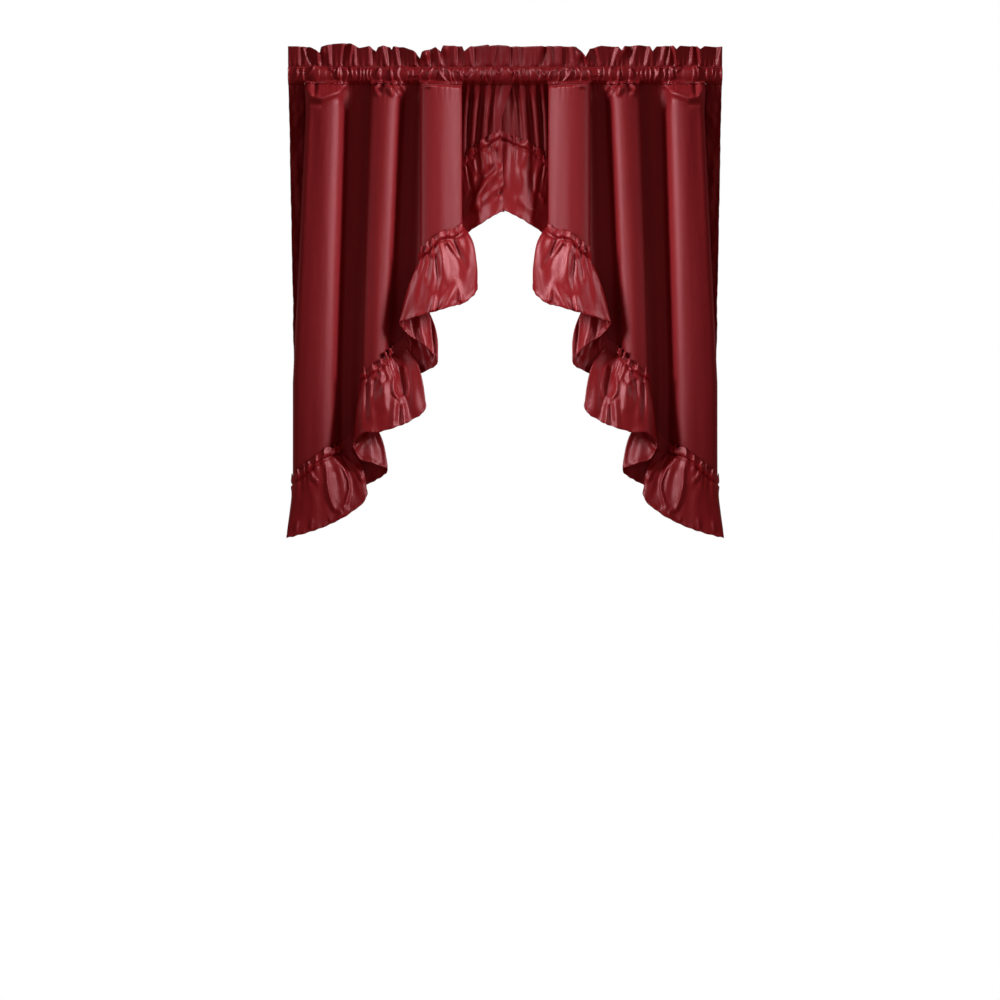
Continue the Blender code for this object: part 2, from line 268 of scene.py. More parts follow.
def crumple_group():
    """Faint lengthwise ripples and creases, left by packing and by the gathers."""
    tree, given, made = group_with(
        "soft_crumple",
        [("Cloth", "NodeSocketVector", None), ("Creases", "NodeSocketFloat", 0.4)],
        [("Height", "NodeSocketFloat"), ("Tone", "NodeSocketFloat")])
    cloth = given.outputs["Cloth"]
    ripples = noise(tree, stretched(tree, cloth, RIPPLE_STRETCH), RIPPLES_PER_METRE, 2.0)
    folded = noise(tree, stretched(tree, cloth, CREASE_STRETCH), CREASES_PER_METRE, 3.0)
    ridge = calculate(tree, "ABSOLUTE", calculate(tree, "SUBTRACT", folded, 0.5), 0.0)
    creased = calculate(tree, "MULTIPLY", ridge, given.outputs["Creases"])
    rippled = calculate(tree, "MULTIPLY", ripples, RIPPLE_SHARE)
    feed(tree, made, {"Height": calculate(tree, "SUBTRACT", rippled, creased),
                      "Tone": noise(tree, cloth, TONES_PER_METRE, 2.0)})
    return tree


SOFT_CRUMPLE = crumple_group()
print("node group:", SOFT_CRUMPLE.name)

# %% [markdown]
# ## The satin itself
#
# The dye is a deep red that is nearly black in the valleys, and the face adds a broad pink gloss.
# A Principled shader gives both: a dark base and a middling roughness, with a little of the
# metallic part, because the gloss of dyed satin is partly coloured. The two groups only vary it.
# The ruffles get a lighter copy of the dye as painted light, and the heading a darker one as
# painted shade.

# %% Satin material
DYE = (0.235, 0.0040, 0.0075)
TONE_SPREAD = 0.10         # how far the dye varies either way
TONE_SHARE = 0.6           # what the crumple says about the tone, against the yarn
STREAK_ROUGHNESS = 0.10
THREAD_BUMP = {"Distance": 0.00006, "Strength": 0.5}
CRUMPLE_BUMP = {"Distance": 0.0016, "Strength": 0.6}
GLOSS = {
    "Metallic": 0.10, "Specular IOR Level": 0.60,
    "Sheen Weight": 0.07, "Sheen Roughness": 0.4, "Sheen Tint": (1.0, 0.75, 0.8, 1.0),
}


def satin(name, roughness, creasing, painted_light_scale):
    """Dyed satin with threads and a soft crumple, its dye scaled to paint light (above 1) and shade
    (below 1).
    """
    material = bpy.data.materials.new(name)
    material.use_nodes = True
    tree = material.node_tree
    cloth = add(tree, "UVMap")
    cloth.uv_map = "cloth"
    threads, crumple = add(tree, "Group"), add(tree, "Group")
    threads.node_tree, crumple.node_tree = SATIN_THREADS, SOFT_CRUMPLE
    feed(tree, threads, {"Cloth": cloth.outputs["UV"]})
    feed(tree, crumple, {"Cloth": cloth.outputs["UV"], "Creases": creasing})
    yarn = threads.outputs["Streak"]
    tone = calculate(tree, "ADD", calculate(tree, "MULTIPLY", crumple.outputs["Tone"], TONE_SHARE),
                     calculate(tree, "MULTIPLY", yarn, 1.0 - TONE_SHARE))
    dye_with_painted_light = [painted_light_scale * part for part in DYE]
    colour = add(tree, "Mix")
    colour.data_type = "RGBA"
    feed(tree, colour, {"A": (*[part * (1.0 - TONE_SPREAD) for part in dye_with_painted_light], 1.0),
                        "B": (*[part * (1.0 + TONE_SPREAD) for part in dye_with_painted_light], 1.0), "Factor": tone})
    streaks = calculate(tree, "MULTIPLY", yarn, STREAK_ROUGHNESS)
    fine = add(tree, "Bump", THREAD_BUMP | {"Height": threads.outputs["Height"]})
    soft = add(tree, "Bump", CRUMPLE_BUMP | {"Height": crumple.outputs["Height"],
                                             "Normal": fine.outputs["Normal"]})
    feed(tree, tree.nodes["Principled BSDF"], GLOSS | {
        "Base Color": colour.outputs["Result"], "Normal": soft.outputs["Normal"],
        "Roughness": calculate(tree, "ADD", streaks, roughness - STREAK_ROUGHNESS / 2)})
    return material


# roughness, strength of the creases, and how far the dye is scaled: up on the ruffles as painted light,
# down on the heading as painted shade
SATIN = {
    "panel": satin("panel_satin", 0.50, 0.25, 1.0),
    # the ruffles' dye is 1.2 times the panel's: painted light on the same cloth
    "ruffle": satin("ruffle_satin", 0.42, 0.5, 1.2),
    "rod_pocket": satin("pocket_satin", 0.42, 0.5, 1.0),
    # the heading's dye is a little darker than the panel's: painted shade
    "heading": satin("heading_satin", 0.46, 0.5, 0.95),
}
print("materials:", ", ".join(m.name for m in SATIN.values()))

# %% [markdown]
# ## Tools for hanging cloth
#
# Every piece is a grid of points: columns run down the cloth and rows run across it. We could model
# the folds by pushing points about by hand, but a table of a few places across the cloth is easier
# to read and to change, with a smooth curve drawn through them. All places are in millimetres: out
# from the centre line, depth (minus is towards the room) and drop below the axis of the rod.

# %% Smooth curves through a table
def hermite(table, at):
    """Smooth value of each column of a table, whose first column is the place, at many places."""
    rows = np.array(table, dtype=float)
    knots, values = rows[:, 0], rows[:, 1:]
    slopes = np.gradient(values, knots, axis=0)
    at = np.asarray(at, dtype=float)
    i = np.clip(np.searchsorted(knots, at, side="right") - 1, 0, len(knots) - 2)
    span = (knots[i + 1] - knots[i])[..., None]
    t = np.clip((at - knots[i])[..., None] / span, 0.0, 1.0)
    return ((1 + 2 * t) * (1 - t) ** 2 * values[i] + t * (1 - t) ** 2 * span * slopes[i]
            + t * t * (3 - 2 * t) * values[i + 1] + t * t * (t - 1) * span * slopes[i + 1])


def blend(a, b, share):
    """Value a share of the way from a to b."""
    return a + (b - a) * share


def ease(low, high, x):
    """Rises smoothly from 0 at low to 1 at high."""
    t = np.clip((np.asarray(x, dtype=float) - low) / (high - low), 0.0, 1.0)
    return t * t * (3 - 2 * t)


def window(rise, fall, x):
    """1 between a rise and a fall, and 0 outside them."""
    return ease(*rise, x) * (1.0 - ease(*fall, x))


def unit(vectors):
    """The vectors at length 1."""
    return vectors / np.maximum(np.linalg.norm(vectors, axis=-1, keepdims=True), 1e-9)


print("halfway up a smooth step:", float(ease(0, 1, 0.5)))

# %% Gathers and wrinkles
ROUND = 2 * math.pi
ANY_PHASE = (0.0, 6.28)
WANDERS, WANDER_STRENGTH = (2.7, 4.3, 7.9), 0.9  # in lengths of a gather
SIZE_CHANGE, SIZE_CHANGE_LENGTH = 0.25, 5.3
TOP_ROUNDNESS = 0.8
TUCK_TURN = 0.22  # share of a tuck that its narrow inward face takes
WRINKLE_WAVES = 14
CREASE_FADE = 0.05  # places over which a hand-placed crease ends


def gathers(along, length, seed):
    """Uneven gathers from -1 in their creases to 1 on their rounded tops."""
    rng = np.random.default_rng(seed)
    along = np.asarray(along, dtype=float)
    wander = sum(rng.uniform(0.4, 1.0) * np.sin(along * ROUND / (length * wide) + rng.uniform(*ANY_PHASE))
                 for wide in WANDERS)
    turn = math.pi * along / length + WANDER_STRENGTH * wander
    change = np.sin(along * ROUND / (length * SIZE_CHANGE_LENGTH) + rng.uniform(*ANY_PHASE))
    size = 1.0 - SIZE_CHANGE + SIZE_CHANGE * change
    return size * (2.0 * np.abs(np.sin(turn)) ** TOP_ROUNDNESS - 1.0)


def stretches(knots, along):
    """Which stretch between the knots each place lies in, and its share of the way along it."""
    knots = np.array(knots)
    i = np.clip(np.searchsorted(knots, along) - 1, 0, len(knots) - 2)
    return i, (along - knots[i]) / (knots[i + 1] - knots[i])


def uneven_folds(along, shortest, longest, seed):
    """Folds of uneven width that go to and fro, about -1 to 1."""
    rng = np.random.default_rng(seed)
    along = np.asarray(along, dtype=float)
    knots, values = [along.min() - longest], [1.0]
    while knots[-1] < along.max() + longest:
        knots.append(knots[-1] + rng.uniform(shortest, longest) / 2)
        values.append(-math.copysign(rng.uniform(0.45, 1.0), values[-1]))
    i, share = stretches(knots, along)
    values = np.array(values)
    return blend(values[i], values[i + 1], ease(0.0, 1.0, share))


def tucks(out, shortest, longest, seed):
    """Gathers that lie over towards the side, 0 to 1: a broad face outwards, a narrow one inwards."""
    rng = np.random.default_rng(seed)
    knots, heights = [-longest * 4], [0.5]
    while knots[-1] < np.max(out) + longest:
        knots.append(knots[-1] + rng.uniform(shortest, longest))
        heights.append(rng.uniform(0.3, 1.0))
    i, share = stretches(knots, out)
    return np.array(heights)[i] * np.where(share < TUCK_TURN, ease(0.0, TUCK_TURN, share),
                                           (1.0 - share) / (1.0 - TUCK_TURN))


def wrinkles(u, v, shortest, longest, seed, slant=(-1.2, 1.2)):
    """Soft random wrinkles, about -1 to 1, over cloth measured in millimetres."""
    rng = np.random.default_rng(seed)
    total = 0.0
    for _ in range(WRINKLE_WAVES):
        length = shortest * (longest / shortest) ** rng.uniform()
        angle = rng.uniform(*slant)
        wave = (u * math.cos(angle) + v * math.sin(angle)) * ROUND / length
        total = total + np.sin(wave + rng.uniform(*ANY_PHASE)) * rng.uniform(0.6, 1.0)
    return total / math.sqrt(WRINKLE_WAVES)


def crease(out, drop, line):
    """Height of one soft line at each point: its points say out, drop, half width and height."""
    best = np.zeros_like(out)
    for start, end in zip(line, line[1:]):
        along = end[:2] - start[:2]
        t = ((out - start[0]) * along[0] + (drop - start[1]) * along[1]) / (along @ along)
        t = np.clip(t, 0.0, 1.0)
        away = np.hypot(out - start[0] - t * along[0], drop - start[1] - t * along[1])
        width, height = blend(start[2], end[2], t), blend(start[3], end[3], t)
        value = height * np.exp(-(away / width) ** 2)
        best = np.where(np.abs(value) > np.abs(best), value, best)
    return best


def creases(points, places, table):
    """Forward push along given soft lines, as seen from the front.

    The table has groups, each with the first and last place that its lines act on. A line whose
    height is below 0 is a trough."""
    push = np.zeros(points.shape[:-1])
    for first, last, lines in table:
        acts = window((first - CREASE_FADE, first), (last, last + CREASE_FADE), places)
        for line in lines:
            push += acts * crease(points[..., 0], points[..., 2], np.array(line, dtype=float))
    return push


print("gathers over 30 mm:", np.round(gathers(np.arange(0, 30, 5), 9.0, 3), 2))

# %% From a grid of points to a sheet of cloth
def surface_normals(points):
    """Unit normals of a grid of points, pointing to the room where the cloth faces it."""
    across = np.gradient(points, axis=1)
    down = np.gradient(points, axis=0)
    return unit(np.cross(down, across))


def world(side, points):
    """Out, depth and drop in millimetres to metres in the drape's frame."""
    return np.stack((SIDES[side] * points[..., 0], points[..., 1], -points[..., 2]), axis=-1) * MM


def travel(points, axis):
    """Distance along a grid, in its rows (axis 1) or its columns (axis 0)."""
    steps = np.linalg.norm(np.diff(points, axis=axis), axis=-1)
    pad = [(0, 0), (0, 0)]
    pad[axis] = (1, 0)
    return np.cumsum(np.pad(steps, pad), axis=axis)


def settled(piece):
    """The piece as a plain mesh with smooth shading, with its modifiers applied and gone."""
    shape = bpy.data.meshes.new_from_object(
        piece.evaluated_get(bpy.context.evaluated_depsgraph_get()))
    old = piece.data
    piece.modifiers.clear()
    piece.data = shape
    bpy.data.meshes.remove(old)
    shape.name = piece.name
    shape.shade_smooth()
    print(f"{piece.name}: {sum(len(p.vertices) - 2 for p in shape.polygons)} triangles")
    return piece


def cell_corners(grid):
    """The four corners of every cell of a grid, in order round the cell."""
    return np.stack((grid[:-1, :-1], grid[1:, :-1], grid[1:, 1:], grid[:-1, 1:]), axis=2)


def cloth(name, points, thickness, material, closed_ring=False):
    """A sheet of cloth through a grid of world points, with its UV map in metres."""
    rows, columns = points.shape[:2]
    index = np.arange(rows * columns).reshape(rows, columns)
    if closed_ring:
        index[-1] = index[0]
    u = travel(points, 1).mean(axis=0)[None, :].repeat(rows, 0)
    v = -travel(points, 0)
    mesh = bpy.data.meshes.new(name)
    kept = points.reshape(-1, 3)
    if closed_ring:
        kept = kept[:-columns]
    mesh.from_pydata(kept.tolist(), [], cell_corners(index).reshape(-1, 4).tolist())
    layer = mesh.uv_layers.new(name="cloth")
    uv = cell_corners(np.stack((u, v), axis=-1))
    layer.data.foreach_set("uv", uv.reshape(-1).astype(np.float32))
    mesh.materials.append(material)
    sheet = bpy.data.objects.new(name, mesh)
    scene.collection.objects.link(sheet)
    thick = sheet.modifiers.new("thickness", "SOLIDIFY")
    thick.thickness = thickness * MM
    thick.offset = 0.0
    return settled(sheet)


print("a sheet is a grid of points with a thickness")

# %% [markdown]
# ## Where the folds hang
#
# These tables are the drape's pattern. A place across the cloth is counted in folds: 1 is the outer
# edge of the first fold, 1.6 its inner foot, 2 the outer edge of the second fold, and 4 is where
# the recess beside the third fold starts. The plain solids follow the same pattern more coarsely.

# %% The level section of a panel
HALF_WIDTH = 423.0
PANEL_TOP = 17.4
VALLEY_DEPTH = 8.0
LEAN_END = 600.0  # the drop below which the folds lean no further
FOOT, CENTRE = 0.6, 5.0  # places: a fold's inner foot, counted from its outer edge, and the last

# share of its depth that the gathered cloth has at the pocket
GATHERED = 0.36
# place, how far below the pocket the cloth reaches its full depth
FILLS_OUT = (
    (0, 20), (0.95, 24), (1, 30), (1.2, 28), (1.6, 22), (1.8, 18), (2, 44), (2.15, 26), (2.3, 8),
    (2.45, 26), (2.6, 40), (2.8, 20), (3, 10), (3.55, 9), (3.7, 20), (4, 34), (5, 34),
)
# outer edge and inner foot from the centre, what each leans outwards per metre, depth, share of it
# that is left at the foot
FOLDS = (
    (384, 310, 48, 28, 36, 0.20),
    (262, 198, 30, 52, 34, 0.20),
    (166, 85, 2, -3, 43, 0.55),
)
# share of the way from a fold's outer edge to its inner foot, share of its depth
FOLD_PROFILE = (
    (0.000, 0.42), (0.015, 0.66), (0.04, 0.84), (0.09, 0.92), (0.20, 0.96), (0.42, 1.00),
    (0.62, 0.975), (0.76, 0.89), (0.86, 0.74), (0.94, 0.48), (1.00, 0.20),
)
# how the face of a fold with a deep foot bends towards it
INNER_CURVE, INNER_START = 3.5, 0.3
# share of the way from a fold's foot to the next fold's place, share of the way across the valley
# (above 1 the cloth runs on behind the next fold's edge), share of the next fold's depth
VALLEY_PATH = (
    (0.15, 0.12, 0.0), (0.45, 0.52, 0.0), (0.72, 0.95, 0.0), (0.86, 1.10, 0.10), (0.94, 1.09, 0.28),
)
# place, from the centre, lean outwards per metre, depth
RETURN_STRIP = (
    (0, 423, -20, 2), (0.4, 400, -16, 9), (0.7, 378, -10, 15), (0.8, 374, -10, 8),
    (0.9, 380, 30, -3),
)
RECESS = (
    (3.66, 87, 0, 3), (3.73, 97, 0, 9), (3.80, 107, 0, 15), (3.86, 104, 20, 24), (3.93, 91, 40, 28),
    (4.00, 79, 60, 26), (4.13, 69, 60, 18), (4.26, 62, 70, 22), (4.39, 54, 80, 14),
    (4.52, 46, 80, 19), (4.67, 34, 70, 11), (4.80, 23, 50, 14), (4.91, 14, 20, 8), (5.00, 7, 0, 9),
)


def cross_section_table():
    """The panel's level section: place, distance from the centre, lean and depth."""
    rows = list(RETURN_STRIP)
    for number, (outer, inner, outer_lean, inner_lean, depth, foot) in enumerate(FOLDS, start=1):
        for share, rise in FOLD_PROFILE:
            if foot > FOLD_PROFILE[-1][1] and share > INNER_START:
                rise = 1.0 - (1.0 - foot) * share ** INNER_CURVE
            rows.append((number + FOOT * share, blend(outer, inner, share),
                         blend(outer_lean, inner_lean, share),
                         VALLEY_DEPTH - rise * (VALLEY_DEPTH + depth)))
        if number < len(FOLDS):
            next_outer, next_lean, next_depth = (FOLDS[number][column] for column in (0, 2, 4))
            for share, across, rise in VALLEY_PATH:
                rows.append((number + blend(FOOT, 1.0, share), blend(inner, next_outer, across),
                             blend(inner_lean, next_lean, min(across, 1.0)),
                             VALLEY_DEPTH - rise * (VALLEY_DEPTH + next_depth)))
    return rows + list(RECESS)


CROSS_SECTION = cross_section_table()
print(len(CROSS_SECTION), "places across a panel")

# %% Round every turn like real cloth
TURN_SOFTNESS, SAMPLE = 2.6, 0.25  # along the cloth
SECTION_SAMPLES = 9001


def soft_section():
    """The section at even steps along the cloth, with its turns rounded off."""
    place = np.linspace(0.0, CENTRE, SECTION_SAMPLES)
    rows = hermite(CROSS_SECTION, place)
    steps = np.hypot(np.diff(rows[:, 0]), np.diff(rows[:, 2]))
    length = np.concatenate(([0.0], np.cumsum(steps)))
    even = np.arange(0.0, length[-1], SAMPLE)
    reach = int(4 * TURN_SOFTNESS / SAMPLE)
    weights = np.exp(-0.5 * (np.arange(-reach, reach + 1) * SAMPLE / TURN_SOFTNESS) ** 2)
    weights /= weights.sum()
    columns = [np.interp(even, length, column) for column in rows.T]
    soft = [np.convolve(np.pad(column, reach, mode="reflect", reflect_type="odd"), weights, "valid")
            for column in columns]
    return np.interp(even, length, place), np.array(soft)


SECTION_PLACES, SECTION = soft_section()


def section_at(places):
    """Distance from the centre, lean and depth of the rounded section."""
    return [np.interp(places, SECTION_PLACES, column) for column in SECTION]


print(f"the cloth of a panel is {len(SECTION_PLACES) * SAMPLE:.0f} mm wide along its folds")

# %% The stitch line of the ruffle and the laps at the centre
# place, drop of the stitch line
SEAM = (
    (0, 786), (0.7, 792), (1, 798), (1.15, 782), (1.40, 750), (1.60, 737), (1.70, 729), (1.76, 720),
    (1.82, 698), (1.91, 652), (2.00, 606), (2.15, 590), (2.40, 574), (2.60, 546), (2.70, 537),
    (2.76, 527), (2.82, 490), (2.91, 430), (3.00, 374), (3.15, 346), (3.30, 325), (3.50, 318),
    (3.60, 306), (3.70, 282), (3.80, 250), (3.90, 216), (4.00, 190), (4.15, 174), (4.50, 154),
    (5.00, 121),
)
SEAM_TURNING = 6.0
HEADER = 19.0
# side, how far the inner edge runs over the centre at the top and low down, how far it lies back
LAPS = {"left": (27.0, 0.0, -3.0), "right": (22.0, 22.0, 8.0)}
# where the laps start, the drop where they have their lower width, and how much they lift the hem
LAP_START, LAP_END_DROP, LAP_RISE = 4.6, 82.0, 0.42


def seam_drop(places):
    """Drop of the ruffle's stitch line below the rod."""
    return hermite(SEAM, places)[..., 0]


def lap(side, places, drops):
    """How far the centre end runs over the middle, and how far it lies back, on this side."""
    top, low, back = LAPS[side]
    share = np.maximum(0.0, (places - LAP_START) / (CENTRE - LAP_START))
    return share * blend(top, low, np.minimum(drops / LAP_END_DROP, 1.0)), share * back


def hanging_point(side, places, drops):
    """The smooth panel, before its gathers: out, depth and drop at many places and drops."""
    out, lean, depth = section_at(places)
    out = out + lean * np.minimum(drops, LEAN_END) * MM
    fill = np.clip((drops - PANEL_TOP) / np.interp(places, *zip(*FILLS_OUT)), 0.0, 1.0)
    gathered = blend(GATHERED, 1.0, np.sin(fill * math.pi / 2))
    over, back = lap(side, places, drops)
    return np.stack((out - over, depth * gathered + back, drops), axis=-1)


print("the stitch line rises from", SEAM[0][1], "to", SEAM[-1][1], "mm below the rod")

# %% [markdown]
# ## The gathers of a panel
#
# Where the cloth is sewn to the rod pocket it is gathered, and each deep fold starts in its own
# way: the first in a puff, the second in a pinch that sends out short creases, the third in a
# scalloped edge. The recess is full of fine pleats that fan out. These main creases are placed as
# soft lines, and only the small ones between them are random, from fixed seeds.

# %% Creases of a panel
# first and last place, then lines through points: out, drop, half width, height
PANEL_CREASES = (
    # the first fold puffs out under the pocket, down to a curved edge
    (1.02, 1.62, (
        ((379, 12, 4, 4), (379, 32, 4, 5), (373, 45, 5, 6), (356, 49, 5, 6), (342, 43, 5, 5),
         (327, 36, 5, 4), (311, 18, 5, 2)),
        ((374, 58, 5, -2), (356, 61, 5, -3), (340, 54, 5, -2), (326, 47, 5, -1)),
        ((369, 10, 4, -7), (369, 30, 4, -7), (369, 42, 3, -3)),
        ((376, 8, 26, 6), (374, 38, 24, 5)),
    )),
    (1.02, 1.70, (
        ((314, 28, 6, -3), (315, 48, 6, -5), (313, 66, 6, -1)),
    )),
    # the second is pinched, and short creases run out from the pinch
    (2.00, 2.62, (
        ((235, 12, 3, 6), (245, 15, 3, 7), (251, 25, 3, 7), (249, 38, 4, 3)),
        ((231, 12, 3, 6), (228, 22, 3, 8), (221, 39, 4, 4)),
        ((223, 12, 3, 5), (218, 22, 3, 7), (206, 39, 4, 5)),
        ((203, 20, 3, 3), (196, 32, 3, 5), (189, 44, 4, 2)),
        ((239, 16, 3, -6), (243, 28, 3, -5), (240, 38, 4, -1)),
        ((225, 15, 3, -5), (216, 28, 3, -5), (212, 38, 3, -1)),
        ((212, 14, 3, -3), (202, 28, 3, -5), (196, 42, 3, -1)),
    )),
    # the third starts in a scalloped edge
    (3.00, 3.58, (
        ((160, 20, 3, 4), (148, 25, 3, 6), (131, 20, 3, 5), (121, 18, 3, 3)),
        ((112, 14, 4, -4), (98, 20, 5, -5), (90, 17, 4, -3)),
    )),
    # fine pleats that fan out down the recess
    (3.95, 5.00, (
        ((73, 17, 3, 4), (78, 80, 4, 4), (82, 150, 6, 2)),
        ((54, 17, 3, 5), (60, 70, 5, 6), (66, 140, 7, 4)),
        ((31, 17, 3, 5), (37, 66, 5, 6), (43, 128, 6, 3)),
        ((15, 17, 3, 3), (20, 62, 4, 4), (22, 120, 5, 2)),
        ((64, 17, 3, -4), (69, 80, 5, -5), (74, 150, 6, -3)),
        ((42, 17, 3, -4), (48, 70, 5, -5), (54, 130, 6, -3)),
        ((22, 17, 3, -4), (27, 64, 5, -5), (31, 125, 6, -3)),
    )),
)
print(sum(len(lines) for _, _, lines in PANEL_CREASES), "creases placed by hand on each panel")

# %% The surface of a panel
NEXT_PLACE = 0.004
# the gathers at the pocket: length, depth, and how far they run down the folds and the recess
ROD_GATHER, ROD_GATHER_DEPTH, ROD_GATHER_SEED = 8.5, 1.5, 7
FOLD_FADE, RECESS_FADE = 13.0, 39.0
RECESS_ENDS, STRIP_ENDS = (3.62, 3.9), (0.75, 0.95)
# the long pleats of the recess, which fan out as they fall
PLEAT_LENGTH, PLEAT_DEPTH, PLEAT_FAN, PLEAT_FADE = 6.5, 0.8, 0.08, 90.0
PLEAT_SEED = 21
# shortest and longest wrinkle and the seed, how much they stretch down the cloth, and how deep they
# are; their directions on the body
STRIP_WRINKLES, STRIP_STRETCH, STRIP_CRUMPLE = (12.0, 46.0, 11), 0.55, 2.2
BODY_WRINKLES, BODY_STRETCH, BODY_CRUMPLE = (24.0, 80.0, 13), 0.12, 0.55
BODY_SLANT = (-0.6, 0.6)


def panel_surface(side, places, drops):
    """The panel with all its gathers, creases and wrinkles, and the way that its cloth faces."""
    points = hanging_point(side, places, drops)
    before = hanging_point(side, np.maximum(places - NEXT_PLACE, 0.0), drops)
    after = hanging_point(side, np.minimum(places + NEXT_PLACE, CENTRE), drops)
    along = after - before
    normal = unit(np.stack((-along[..., 1], along[..., 0], 0.0 * drops), axis=-1))
    down = drops - PANEL_TOP
    top_out = section_at(places)[0]
    recess = ease(*RECESS_ENDS, places)
    strip = 1.0 - ease(*STRIP_ENDS, places)
    fade = np.exp(-down / blend(FOLD_FADE, RECESS_FADE, recess))
    push = ROD_GATHER_DEPTH * gathers(top_out, ROD_GATHER, ROD_GATHER_SEED) * fade
    push += (recess * PLEAT_DEPTH * gathers(top_out - PLEAT_FAN * down, PLEAT_LENGTH, PLEAT_SEED)
             * np.exp(-down / PLEAT_FADE))
    push += (strip * STRIP_CRUMPLE * wrinkles(top_out, drops * STRIP_STRETCH, *STRIP_WRINKLES)
             * ease(0.0, 60.0, down))
    push += (BODY_CRUMPLE * wrinkles(top_out, drops * BODY_STRETCH, *BODY_WRINKLES, BODY_SLANT)
             * ease(0.0, 90.0, down))
    push += creases(points, places, PANEL_CREASES)
    return points + normal * push[..., None], normal


places = np.linspace(0.0, CENTRE, 6)
print("depths 300 mm down:", np.round(panel_surface("left", places, places * 0 + 300)[0][:, 1]))

# %% Panels
PANEL_CLOTH = 0.7
PANEL_COLUMN = 1.8
TOP_ROWS, BODY_ROWS = 26, 88
TOP_ROWS_END, TOP_ROWS_SHARE = 64.0, 0.45
TOP_CROWDING = 1.3
INTO_POCKET = 2.2
FINE_PLACES = 6000
SPACING_DROP = 60.0


def even_places(step, start, end, rows):
    """Places across the cloth whose columns lie at most a step apart in every sampled row."""
    fine = np.linspace(start, end, FINE_PLACES)
    length = 0.0
    for points, widest in rows(fine):
        steps = np.linalg.norm(np.diff(points, axis=0), axis=-1) / widest
        length = np.maximum(length, steps)
    reached = np.concatenate(([0.0], np.cumsum(length)))
    count = int(math.ceil(reached[-1] / step)) + 1
    return np.interp(np.linspace(0.0, reached[-1], count), reached, fine)


def panel_rows(fine):
    """The level section that spaces a panel's columns."""
    yield hanging_point("left", fine, fine * 0.0 + SPACING_DROP), 1.0


def make_panel(side):
    """One hanging panel as a fine sheet."""
    places = even_places(PANEL_COLUMN, 0.0, CENTRE, panel_rows)
    bottom = seam_drop(places) + SEAM_TURNING
    top_share = np.linspace(0.0, 1.0, TOP_ROWS) ** TOP_CROWDING
    body_share = np.linspace(0.0, 1.0, BODY_ROWS + 1)[1:]
    top_end = np.minimum(TOP_ROWS_END, TOP_ROWS_SHARE * (bottom - PANEL_TOP))
    top = PANEL_TOP - INTO_POCKET
    drops = np.concatenate((top + top_share[:, None] * top_end,
                            top + top_end + body_share[:, None] * (bottom - top - top_end)))
    grid = np.broadcast_to(places, drops.shape)
    points, _ = panel_surface(side, grid, drops)
    return cloth(side + "_satin_panel", world(side, points), PANEL_CLOTH, SATIN["panel"])


panels = {side: make_panel(side) for side in SIDES}

# %% [markdown]
# ## The ruffles
#
# A ruffle is a straight strip, longer than the edge that it is gathered onto. Where the edge runs
# level it falls as a shell; where the edge climbs, the strip swings back under itself and out
# again, so that each shell has an under-fold below it. A cloth simulation could let it fall, but it
# would hardly fall in these very shells, so a table gives the hem's route instead. Above the
# stitches stands a small crinkled heading, where each gather curls over like a ribbon on edge.

# %% The hem's route
# place on the seam, then the hem's distance from the centre, its drop and its depth, and how far the
# cloth between seam and hem swells forwards and outwards
HEM = (
    (1.00, 423, 901, -58, 5, 0),
    (1.12, 395, 894, -59, 10, 0),
    (1.35, 345, 877, -50, 14, 0),
    (1.57, 294, 848, -35, 9, -10),
    (1.66, 274, 830, -28, 10, -12),
    (1.72, 270, 809, -16, 10, -18),
    (1.755, 281, 803, -13, 1, -9),
    (1.79, 295, 804, -3, 0, -6),
    (1.83, 262, 794, 3, -1, -14),
    (1.87, 227, 770, -15, 2, -22),
    (1.915, 253, 757, -28, 2, -14),
    (1.955, 283, 746, -35, 2, -4),
    (1.99, 294, 722, -41, 3, 2),
    (2.06, 282, 703, -55, 7, 0),
    (2.25, 244, 696, -58, 14, 0),
    (2.47, 200, 682, -48, 13, -4),
    (2.64, 176, 669, -32, 5, -10),
    (2.69, 162, 660, -30, 8, -15),
    (2.74, 155, 641, -22, 10, -20),
    (2.775, 176, 628, -16, 0, -8),
    (2.805, 192, 606, -5, -2, -8),
    (2.835, 168, 583, 7, 0, -18),
    (2.865, 131, 562, -23, 5, -22),
    (2.90, 150, 532, -29, 2, -16),
    (2.94, 186, 507, -37, 2, -4),
    (2.98, 204, 487, -45, 5, 7),
    (3.05, 190, 479, -53, 9, 3),
    (3.22, 150, 467, -62, 16, 0),
    (3.42, 104, 453, -57, 16, 0),
    (3.55, 72, 440, -42, 10, -12),
    (3.62, 54, 416, -22, 8, -15),
    (3.71, 78, 382, -1, -1, -8),
    (3.80, 97, 348, 6, -3, 0),
    (3.88, 96, 324, 16, 2, 0),
    (4.00, 76, 308, 12, 3, 0),
    (4.50, 43, 287, -8, 10, 0),
    (4.80, 20, 273, -12, 14, 0),
    (4.92, 9, 267, -8, 12, 0),
    (5.00, 1, 265, -4, 9, 0),
)
# how early the cloth swells and swings, share of the swell that a shell keeps, and how late a shell
# comes forward
BELLY_SKEW, SWING_SKEW, SWELL, FLARE = 0.7, 0.6, 0.45, 1.5
SHELL_EDGE = 0.10   # places over which a shell starts
GATHER_FADE = 0.16  # share of the height over which the panel's gathers fade
RUFFLE_START = 1.0
# the places between which the stitch line climbs steeply
STEEP = ((1.64, 2.02), (2.64, 3.02), (3.58, 4.0))
print("the hem drops from", HEM[-1][2], "to", HEM[0][2], "mm")

